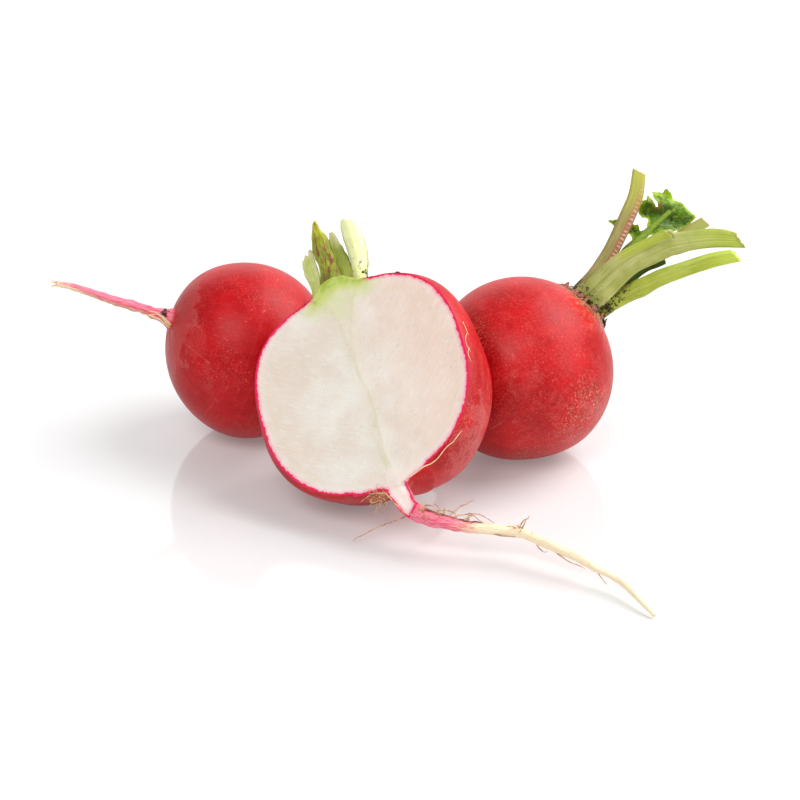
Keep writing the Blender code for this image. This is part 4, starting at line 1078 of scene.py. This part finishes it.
# The half's stubs: how far their middle lies out from the cut face, their half thickness, how ragged their end is,
# how deep they are creased, and their left and right edges (across and along in the cut face's measures).
HALF_STUBS = {
    "half_stalk_a": ("stub_pale", LIME_STALK, -1.9, 1.25, 0.25, 0.045, (
        (-3.0, -18.4), (-3.3, -20.2), (-3.5, -22.4), (-3.5, -24.4), (-3.4, -26.9), (-3.4, -28.6), (-3.8, -30.2)), (
        (-5.4, -18.4), (-5.9, -19.8), (-6.6, -21.6), (-6.9, -23.6), (-6.9, -25.9), (-6.8, -27.4), (-6.2, -29.2))),
    "half_stalk_b": ("stub_olive", MOSS_STALK, -1.6, 0.95, 0.8, 0.045, (
        (-1.0, -18.6), (-1.0, -21.2), (-1.0, -23.4), (-0.95, -25.6), (-0.8, -27.4), (-1.2, -28.6)), (
        (-3.7, -18.6), (-3.7, -20.6), (-3.6, -22.4), (-3.3, -24.2), (-2.9, -26.0), (-2.1, -28.3))),
    "half_stalk_c": ("stub_torn", TORN_STALK, -1.2, 1.05, 2.0, 0.10, (
        (2.6, -18.4), (2.4, -20.4), (2.0, -22.8), (2.1, -25.2), (2.2, -27.3), (1.8, -28.6), (1.0, -30.5),
        (0.7, -31.2)), (
        (-1.7, -18.6), (-1.6, -20.6), (-1.4, -22.4), (-1.3, -24.6), (-1.2, -26.6), (-1.0, -28.2), (-0.3, -29.8),
        (0.5, -31.3))),
    "half_stalk_d": ("stub_thin", THIN_STALK, -1.5, 0.5, 1.2, 0.045, (
        (4.9, -17.8), (4.5, -19.6), (4.4, -21.4), (4.8, -22.9), (4.8, -24.2), (4.8, -25.5), (4.2, -26.3),
        (2.9, -27.1)), (
        (2.2, -18.0), (2.5, -20.2), (2.3, -22.0), (2.2, -23.6), (2.2, -24.8), (2.3, -25.8), (2.3, -26.5),
        (2.4, -27.0))),
}
# The one stub that wasn't split: round in front, with a brown strip on its left that is partly painted shade.
ROUND_STUB = "half_stalk_a"


def make_half_stubs():
    made = []
    turn = turns(STUB_SIDES)[None]
    cos, sin = np.cos(turn), np.sin(turn)
    share = np.linspace(0, 1, STUB_RINGS)[:, None]
    for seed, (node, (name, look, out, depth, torn_end, crease, *edges)) in enumerate(HALF_STUBS.items(), start=11):
        split = node != ROUND_STUB
        left, right = (smooth_route(edge, STUB_RINGS) for edge in edges)
        swell = depth * (1 - 0.35 * ease((share - 0.55) / 0.45)) * sin
        swell = out + np.where((swell > 0) & split, swell * 0.55, swell)
        place = ((left + right) / 2)[:, None] + ((left - right) / 2)[:, None] * cos[..., None]
        points = half_point(place[..., :1], place[..., 1:], swell[..., None])
        spot = np.stack((place[..., 0], swell, -place[..., 1]), -1)
        jag = torn_end * grain(spot, 0.50, seed, (1.0, 0.6, 0.12)) * ease((share - 0.72) / 0.28)
        side_jag = (0.26 if split else 0.104) * grain(spot, 1.3, seed + 3) * ease(share * 5)
        creases = crease * grain(spot, 0.5, seed + 5, (1.0, 1.0, 0.10)) * ease(share * 4)
        points = points - HALF_AXIS * jag[..., None] + HALF_ACROSS * (side_jag * cos * np.abs(cos) ** 2)[..., None]
        points = points + HALF_FRONT * (creases * np.sign(sin))[..., None]
        # Painted shade: a dark line along both edges of each stub; the round stub's flank strip is partly painted
        # shade too.
        fields = {
            "share": 0.15 + 0.85 * share, "torn": ease((0.9 - np.abs(cos + 0.1)) / 0.3),
            "flank": 0.0 if split else ease((cos - 0.62) / 0.2), "stain": 0.5 * ease((np.abs(cos) - 0.955) / 0.03),
            "dirt": (0.275 if split else 0.55) * ease((0.75 - share) / 0.5),
        }
        made.append(finish_stalk(name, node, look, points, -HALF_AXIS, fields, spot, float(seed), 0.2))
    return made


def make_left_stalks():
    crown = -LEFT_AXIS
    level = unit(np.cross(crown, UP))
    upright = np.cross(level, crown)
    for number, (side, rise, length, width) in enumerate(LEFT_STALKS, start=1):
        place = level * side + upright * rise
        start = LEFT_CENTRE + crown * (LEFT_RADIUS + 0.1) + place
        lean = crown * length + place * LEFT_STALK_SPREAD
        route = [(*(start + lean * share), width, width, width * LEFT_STALK_FLATNESS) for share in (0, 0.5, 1)]
        stalk_piece(f"left_stub_{number}", f"left_stalk_{number}", BROAD_STALK, route, crown,
                    seed=20.0 + number, slant=0.4, rings=50, sides=56, dirt=(0.5, 4.0), ribs=0.03)


# The leaf's blade: its outline and its veins, along the midrib from LEAF_START and across to the left.
LEAF_START = np.array((39.2, 18.4, 32.3))
LEAF_END = np.array((48.0, 23.3, 38.4))
LEAF_OUTLINE = (
    (1.2, -0.3), (4.0, -0.4), (6.0, -1.4), (7.6, -2.5), (9.3, -3.5), (11.4, -3.7), (12.9, -3.7), (12.9, -1.9),
    (12.8, -0.7), (12.5, 0.4), (12.1, 1.2), (12.4, 2.1), (12.3, 2.9), (12.3, 3.5), (11.7, 3.4), (11.2, 3.5),
    (10.7, 4.2), (10.2, 4.8), (9.9, 4.2), (9.4, 3.1), (9.0, 1.9), (8.6, 2.2), (8.9, 3.2), (9.2, 4.2), (9.0, 4.7),
    (8.2, 4.4), (7.6, 4.6), (6.9, 4.1), (6.1, 3.7), (5.8, 2.7), (6.3, 1.7), (5.6, 0.8), (4.6, 0.5), (3.9, 0.8),
    (4.2, 1.9), (3.7, 2.6), (3.0, 3.3), (2.1, 5.0), (0.8, 5.9), (1.1, 4.5), (1.8, 3.0), (2.2, 1.9), (1.9, 0.8),
    (1.2, 0.3),
)
LEAF_VEINS = (
    ((0.8, 0.0), (12.0, 0.0)), ((2.6, 0.0), (2.9, 2.0), (1.5, 4.9)), ((5.4, 0.0), (6.8, 2.2), (8.6, 4.2)),
    ((8.4, 0.0), (10.2, 2.2), (11.9, 3.2)), ((9.4, 1.4), (10.3, 4.3)), ((6.4, 0.0), (8.6, -1.8), (10.4, -3.4)),
    ((8.6, 0.0), (10.8, -1.6), (12.6, -3.0)), ((10.2, 0.0), (12.6, -0.9)),
)
LEAF_GRID = 0.26
LEAF_STEP = 0.22
LEAF_TEETH = 0.24
LEAF_THICKNESS = 0.28


def leaf_mesh():
    """The blade's points and faces laid flat, and its toothed rim."""
    outline = np.array(LEAF_OUTLINE)
    rim = []
    for start, end in zip(outline, np.roll(outline, -1, axis=0)):
        steps = max(1, int(np.linalg.norm(end - start) / LEAF_STEP))
        rim += [start + (end - start) * step / steps for step in range(steps)]
    level = np.column_stack((rim, np.zeros(len(rim))))
    rim = np.array(rim) + LEAF_TEETH * np.stack([grain(level, 0.45, seed) for seed in (71.0, 75.0)], -1)
    closed = np.concatenate((rim, rim[:1]))
    grid = np.meshgrid(*(np.arange(low, high, LEAF_GRID) for low, high in zip(rim.min(0), rim.max(0))))
    inside = np.stack(grid, -1).reshape(-1, 2)
    inside = inside[line_distance(inside, closed) > 0.12]
    spots = [Vector(point) for point in np.concatenate((rim, inside)).tolist()]
    found = geometry.delaunay_2d_cdt(spots, [], [list(range(len(rim)))], 1, 1e-5)
    used = sorted({corner for face in found[2] for corner in face})
    renumber = {old: new for new, old in enumerate(used)}
    faces = [[renumber[corner] for corner in face] for face in found[2]]
    return np.array([tuple(point) for point in found[0]])[used], faces, closed


def leaf_blade():
    """Points and faces of the thin, crumpled blade, and its edge, vein, brown and dark marks."""
    flat, faces, rim = leaf_mesh()
    along = unit(LEAF_END - LEAF_START)
    across = unit(np.cross(along, VIEWER))
    front = np.cross(across, along)
    place, reach = flat[:, 0], flat[:, 1]
    to_edge = line_distance(flat, rim)
    midrib, *veins = (line_distance(flat, line) for line in LEAF_VEINS)
    to_vein = np.minimum.reduce((midrib, *(vein / 0.7 for vein in veins)))
    deep = np.column_stack((flat, np.zeros(len(flat))))
    crumple = 0.62 * grain(deep, 2.0, 31.0) + 0.26 * grain(deep, 0.8, 33.0)
    swing = 0.45 * np.sin(place * 1.3 + reach * 0.9) * clamp(np.abs(reach) / 2.0)
    curl = 0.35 * grain(deep, 1.4, 37.0) * ease((0.8 - to_edge) / 0.8)
    height = swing - 0.12 * np.abs(reach) + (crumple + curl) * clamp(np.abs(reach) / 0.8)
    height = height + 0.12 * np.exp(-(to_vein / 0.2) ** 2)
    points = LEAF_START + along * place[:, None] - across * reach[:, None] + front * height[:, None]
    both = np.concatenate((points + front * LEAF_THICKNESS / 2, points - front * LEAF_THICKNESS / 2))

    count = len(points)
    edges = [pair for face in faces for pair in zip(face, face[1:] + face[:1])]
    shared = set(edges)
    shell = faces + [[corner + count for corner in face[::-1]] for face in faces]
    shell += [[far, near, near + count, far + count] for near, far in edges if (far, near) not in shared]
    marks = {
        "edge": clamp(1 - to_edge / 0.9) + 0.5 * ease((place - 8.5) / 3.0) * ease((reach + 0.5) / 2.0),
        "vein": np.exp(-(to_vein / 0.17) ** 2),
        "brown": np.exp(-((place - 9.0) ** 2 + (reach - 2.2) ** 2) / 0.8),
        "dark": np.exp(-((place - 9.4) ** 2 + (reach + 1.0) ** 2) / 5.0),
    }
    return both, shell, {key: np.concatenate((values, values)) for key, values in marks.items()}


def make_leaf():
    """The leaf's stalk and its lobed blade in one piece."""
    points, faces, marks = leaf_blade()
    rows = smooth_route(np.array(crown_route("right_leaf"), float), LEAF_STALK_RINGS)
    centres = rows[:, :3]
    centres[0] += RIGHT_AXIS * 1.2
    across, front = frames_along(tangents_along(centres), np.cross(-RIGHT_AXIS, VIEWER))
    rings = sections(centres, across, front, rows[:, 3], rows[:, 5], LEAF_STALK_SIDES)
    body, stalk_faces = closed_loft(rings, len(points))
    share = np.linspace(0, 1, LEAF_STALK_RINGS)[:, None]
    brown = with_ends(ease((0.62 - share) / 0.3) * np.ones(LEAF_STALK_SIDES))
    on_stalk = {"edge": 0.0, "vein": 0.75, "brown": brown, "dark": 0.0}
    stored = {key: np.concatenate((marks[key], values * np.ones(len(body)))) for key, values in on_stalk.items()}
    piece = make_piece("cropped_leaf", np.concatenate((points, body)), faces + stalk_faces, [LEAF], stored)
    stand_for("right_leaf")


# Fine roots, dry scales and dirt

# The tip of the left taproot, the longer fine roots, and tufts: a place, a spread and a number.
LEFT_TIP = (-57.8, 7.7, 30.1)
LEFT_FIBRES = (
    ((-39.6, 10.2, 21.3), (-40.7, 10.1, 22.9), (-41.8, 10.4, 23.7), (-43.2, 10.7, 23.9)),
    ((-39.3, 10.0, 21.6), (-40.3, 9.9, 22.9), (-41.4, 10.2, 23.5), (-43.6, 10.3, 23.3)),
    ((-39.5, 10.3, 21.0), (-40.9, 10.0, 22.4), (-42.4, 10.1, 23.2), (-44.4, 10.1, 23.6)),
    ((-57.4, 7.8, 29.9), (-58.6, 7.6, 30.6), (-59.5, 7.4, 31.1)),
    ((-57.6, 7.8, 30.1), (-58.8, 7.5, 30.4), (-59.4, 7.3, 30.3)),
    ((-57.4, 7.7, 29.9), (-58.6, 7.5, 29.9), (-59.2, 7.2, 29.6)),
)
HALF_ROOTLETS = (
    ((1.8, -33.4, 6.9), (-0.8, -31.0, 4.5), (-3.6, -28.6, 2.2), (-7.4, -30.0, 0.5)),
    ((-0.6, -30.3, 8.8), (-4.2, -29.0, 8.5), (-6.3, -28.5, 6.5)),
    ((3.6, -33.6, 6.8), (4.0, -34.5, 9.0), (5.7, -35.6, 9.2), (6.6, -34.2, 6.4)),
    ((9.7, -35.0, 5.8), (11.2, -34.7, 7.4), (12.4, -35.0, 7.0), (13.7, -35.2, 5.6)),
    ((18.6, -36.1, 5.2), (19.6, -35.1, 6.4), (20.8, -37.1, 8.4)),
    ((19.3, -35.9, 5.3), (19.6, -36.6, 6.6), (20.3, -37.4, 8.0)),
    ((21.0, -37.6, 4.8), (22.2, -38.8, 3.4), (23.4, -38.3, 2.6)),
    ((23.7, -39.5, 4.4), (25.3, -41.2, 3.4), (27.3, -41.7, 2.4), (29.2, -41.5, 1.6)),
    ((30.7, -45.1, 2.9), (31.6, -45.6, 1.8), (32.5, -45.8, 0.8)),
    ((-2.6, -30.7, 9.5), (-1.0, -31.6, 8.2), (1.1, -33.0, 6.2)),
    ((-2.2, -31.0, 9.3), (-4.4, -29.2, 8.6), (-5.8, -26.6, 7.2)),
    ((5.0, -34.0, 6.4), (6.4, -33.4, 7.6), (8.6, -33.7, 7.4), (9.6, -34.9, 6.2)),
    ((7.2, -34.3, 5.9), (9.6, -34.2, 7.2), (12.8, -34.0, 7.0), (15.2, -35.2, 5.9)),
    ((13.0, -35.3, 5.6), (15.6, -36.3, 4.6), (18.2, -36.4, 4.4), (20.4, -37.0, 4.4)),
    ((18.9, -36.0, 5.4), (17.8, -36.8, 6.4), (17.0, -37.4, 6.6)),
    ((4.6, -33.4, 6.0), (6.0, -29.5, 2.6), (7.4, -24.0, 0.8), (9.8, -17.5, 0.3), (12.4, -14.6, 0.25)),
)
ROOT_TUFTS = (((-3.2, -29.8, 7.8), 1.9, 22), ((-4.6, -29.2, 7.2), 1.4, 12), ((3.4, -33.3, 7.4), 1.5, 12),
              ((6.2, -34.1, 6.8), 1.9, 14), ((10.8, -34.9, 6.2), 1.4, 8), ((19.2, -36.1, 5.6), 1.1, 8),
              ((21.0, -37.4, 4.9), 0.7, 4), ((26.0, -41.0, 4.1), 0.6, 3))
# The threads on the half's skin: across and along in the cut face's measures.
SKIN_THREADS = (
    ((-1.9, 18.4), (-3.5, 18.1), (-5.7, 17.6), (-7.5, 17.1), (-9.1, 16.5), (-10.8, 15.6), (-12.1, 15.0),
     (-13.7, 13.8)),
    ((-19.2, -3.7), (-19.3, -2.6), (-19.4, -1.2)), ((-19.3, -1.6), (-18.9, 0.2), (-19.1, 1.9)),
    ((-19.1, 1.2), (-18.7, 2.4), (-18.8, 3.6)),
)
# Where crumbs of soil stick: a place, how far they spread from it, and their number.
RIGHT_CROWN_SOIL = ((2.6, -1.6), (3.4, -0.6), (1.6, -3.0), (-2.6, -1.0), (4.2, 0.6), (2.4, 0.6), (0.2, 1.2))
RIGHT_SOIL = (((36.0, 9.6, 26.8), 0.7, 26), ((34.6, 9.8, 25.4), 0.6, 22), ((38.4, 9.8, 28.2), 0.6, 12))
LEFT_SOILS = (((-40.4, 11.1, 23.1), 0.25, 22), ((-39.9, 11.6, 24.5), 0.2, 12), ((-40.5, 10.2, 22.0), 0.25, 8))
HALF_SOIL = (((6.2, -17.9, -1.2), 0.5, 16), ((-5.9, -19.0, -1.4), 0.4, 16), ((0.0, -19.5, -5.0), 1.2, 24))
# A crumb's levels and how wide it is at each.
CRUMB = ((-0.8, 0.45), (-0.2, 1.0), (0.4, 0.9), (0.9, 0.35))


def stray_route(rng, middle, spread, steps=5):
    """A short random walk out from near a place."""
    start = np.array(middle) + [rng.gauss(0, spread * 0.22) for _ in range(3)]
    heading = unit(np.array([rng.gauss(0, 1), rng.gauss(-0.4, 0.8), rng.gauss(0.1, 0.8)]))
    route = [start]
    for _ in range(steps):
        heading = unit(heading + np.array([rng.gauss(0, 0.75) for _ in range(3)]))
        route.append(route[-1] + heading * spread * rng.uniform(0.15, 0.38))
    return [(x, y, max(0.15, z)) for x, y, z in route]


def make_fine_roots(half):
    rng = random.Random(7)
    lofts = [hair_rings(route, 0.30, seed=i, wiggle=0.3) for i, route in enumerate(LEFT_FIBRES)]
    lofts += [hair_rings(stray_route(rng, LEFT_TIP, 0.9, 3), 0.14, sides=5) for _ in range(7)]
    small_piece("left_fine_roots", lofts, PALE_ROOT)
    lofts = [hair_rings(route, 0.27, seed=i, wiggle=0.45) for i, route in enumerate(HALF_ROOTLETS)]
    for middle, spread, count in ROOT_TUFTS:
        for _ in range(count):
            lofts.append(hair_rings(stray_route(rng, middle, spread), rng.uniform(0.10, 0.17), sides=5))
    small_piece("half_fine_roots", lofts, FINE_ROOT)
    surface = surface_of(half)
    lofts = []
    for number, thread in enumerate(SKIN_THREADS):
        route = []
        for across, along in smooth_route(thread, 26):
            hit = surface.ray_cast(Vector(half_point(across, along, 9.0)), Vector(-HALF_FRONT))
            if hit[0] is not None:
                route.append(np.array(hit[0] + hit[1] * 0.06))
        thickness = 0.13 if number else 0.24
        lofts.append(hair_rings(route, thickness, steps=2, taper=0.5, wiggle=0.12, seed=number))
    small_piece("skin_threads", lofts, PALE_ROOT)


def scale_rings(start, outward, growth, length, width, curl, rng):
    """A dry scale: a small thin ragged flake that lies on a surface and curls up at its tip."""
    side = unit(np.cross(growth, outward))
    rows = []
    for share in np.linspace(0, 1, 6):
        centre = start + growth * length * share + outward * (curl * share ** 2 * length)
        half = width / 2 * (1 - 0.75 * share ** 3) * rng.uniform(0.75, 1.15)
        slip = side * rng.uniform(-0.12, 0.12) * width
        rows.append([centre + slip + side * half * math.cos(turn) + outward * 0.06 * math.sin(turn)
                     for turn in turns(8)])
    return np.array(rows)


def crumb_rings(place, size, rng):
    """A crumb of soil: a small uneven lump."""
    return np.array([[place + size * np.array((girth * math.cos(turn) * rng.uniform(0.6, 1.1),
                                               girth * math.sin(turn) * rng.uniform(0.6, 1.1), level))
                      for turn in turns(6)] for level, girth in CRUMB])


def make_collar(name, root, centre, axis, radius, crown_radius, count, seed):
    """Dry skin scales around a crown, lying on it and pointing to the stalks."""
    rng = random.Random(seed)
    surface = surface_of(root)
    crown = -axis
    side = unit(np.cross(crown, UP))
    other = np.cross(crown, side)
    lofts = []
    for _ in range(count):
        turn = rng.uniform(0, 2 * math.pi)
        girth = crown_radius * rng.uniform(0.85, 1.42)
        around = side * math.cos(turn) + other * math.sin(turn)
        start, outward = put_on(surface, centre + crown * radius + around * girth, 0.0)
        inward = -around + np.cross(outward, around) * rng.uniform(-0.5, 0.5)
        growth = unit(inward - outward * inward.dot(outward))
        lofts.append(scale_rings(start, outward, growth, rng.uniform(0.6, 2.0), rng.uniform(0.5, 1.6),
                                 rng.uniform(-0.1, 0.6), rng))
    small_piece(name, lofts, DRY_SCALE)


def make_soil(name, surface, clusters, seed):
    """Crumbs of soil that stick to a surface, in clusters of a place, a spread and a count."""
    rng = random.Random(seed)
    lofts = []
    for middle, spread, count in clusters:
        for _ in range(count):
            near = np.array(middle) + [rng.gauss(0, spread) for _ in range(3)]
            place, _ = put_on(surface, near, 0.03)
            lofts.append(crumb_rings(place, rng.uniform(0.06, 0.20), rng))
    small_piece(name, lofts, DIRT)


def make_crown_finish(left, right, half, right_stalks, stubs):
    make_collar("right_collar", right, RIGHT_CENTRE, RIGHT_AXIS, RIGHT_RADIUS, RIGHT_CROWN_RADIUS, 110, 3)
    make_collar("left_collar", left, LEFT_CENTRE, LEFT_AXIS, LEFT_RADIUS, LEFT_CROWN_RADIUS, 70, 4)
    gaps = [(crown_place(side, deep), 0.6, 16) for side, deep in RIGHT_CROWN_SOIL]
    make_soil("right_soil", surface_of(right, *right_stalks), [*gaps, *RIGHT_SOIL], 5)
    make_soil("left_soil", surface_of(left), LEFT_SOILS, 6)
    spots = [(half_point(across, along - 0.5, -0.5), 0.28, 16) for across, along in BROWN_SCARS]
    spots += [(half_point(*place), spread, count) for place, spread, count in HALF_SOIL]
    make_soil("half_soil", surface_of(half, *stubs), spots, 8)


LEFT, RIGHT = make_whole_roots()
HALF = make_half()
RIGHT_MADE = make_right_stalks()
STUBS = make_half_stubs()
make_left_stalks()
make_leaf()
make_fine_roots(HALF)
make_crown_finish(LEFT, RIGHT, HALF, RIGHT_MADE, STUBS)


# Stage, light and camera, in metres

FLOOR_SIDE = 6.0
WORLD_STRENGTH = 0.36
# Each light's place, what it points to, its two sides and its power.
LIGHTS = {
    "top_light": ((0.55, 0.18, 0.64), (0.0, 0.01, 0.01), (0.7, 0.6), 7.6),
    "front_light": ((-0.28, -0.58, 0.72), (0.0, 0.0, 0.015), (0.6, 0.5), 4.6),
    "side_light": ((0.75, -0.30, 0.32), (0.0, 0.0, 0.015), (0.5, 0.4), 2.2),
    "back_light": ((0.0, 0.95, 0.42), (0.0, 0.0, 0.0), (1.3, 0.75), 3.0),
}
CAMERA_PLACE = (0.0009, -0.4438, 0.2154)
CAMERA_TARGET = (0.0009, 0.0130, 0.0120)
SENSOR_WIDTH = 36.0
LENS = 132.75


def make_stage():
    mesh = bpy.data.meshes.new("floor")
    end = FLOOR_SIDE / 2
    mesh.from_pydata([(-end, -end, 0), (end, -end, 0), (end, end, 0), (-end, end, 0)], [], [(0, 1, 2, 3)])
    look = Look("floor_gloss", Base_Color=(0.62, 0.62, 0.62, 1.0), Roughness=0.08, IOR=1.5,
                Emission_Color=(1.0, 1.0, 1.0, 1.0), Emission_Strength=0.17)
    mesh.materials.append(look.material)
    add_object("floor", mesh)


def aim(thing, place, target):
    """Puts a light or the camera at a place and turns it to a target."""
    thing.location = place
    thing.rotation_euler = (Vector(target) - Vector(place)).to_track_quat("-Z", "Y").to_euler()


def make_lights():
    world = bpy.data.worlds.new("studio")
    world.use_nodes = True
    background = world.node_tree.nodes["Background"]
    background.inputs["Color"].default_value = (1.0, 1.0, 1.0, 1.0)
    background.inputs["Strength"].default_value = WORLD_STRENGTH
    bpy.context.scene.world = world
    for name, (place, target, size, power) in LIGHTS.items():
        light = bpy.data.lights.new(name, "AREA")
        light.shape = "RECTANGLE"
        light.size, light.size_y = size
        light.energy = power
        aim(add_object(name, light), place, target)


def make_camera():
    camera = bpy.data.cameras.new("camera")
    camera.sensor_width = SENSOR_WIDTH
    camera.lens = LENS
    camera.clip_start = 0.01
    eye = add_object("camera", camera)
    aim(eye, CAMERA_PLACE, CAMERA_TARGET)
    bpy.context.scene.camera = eye


make_stage()
make_lights()
make_camera()
bpy.context.scene.view_settings.view_transform = "Standard"

bpy.context.view_layer.update()
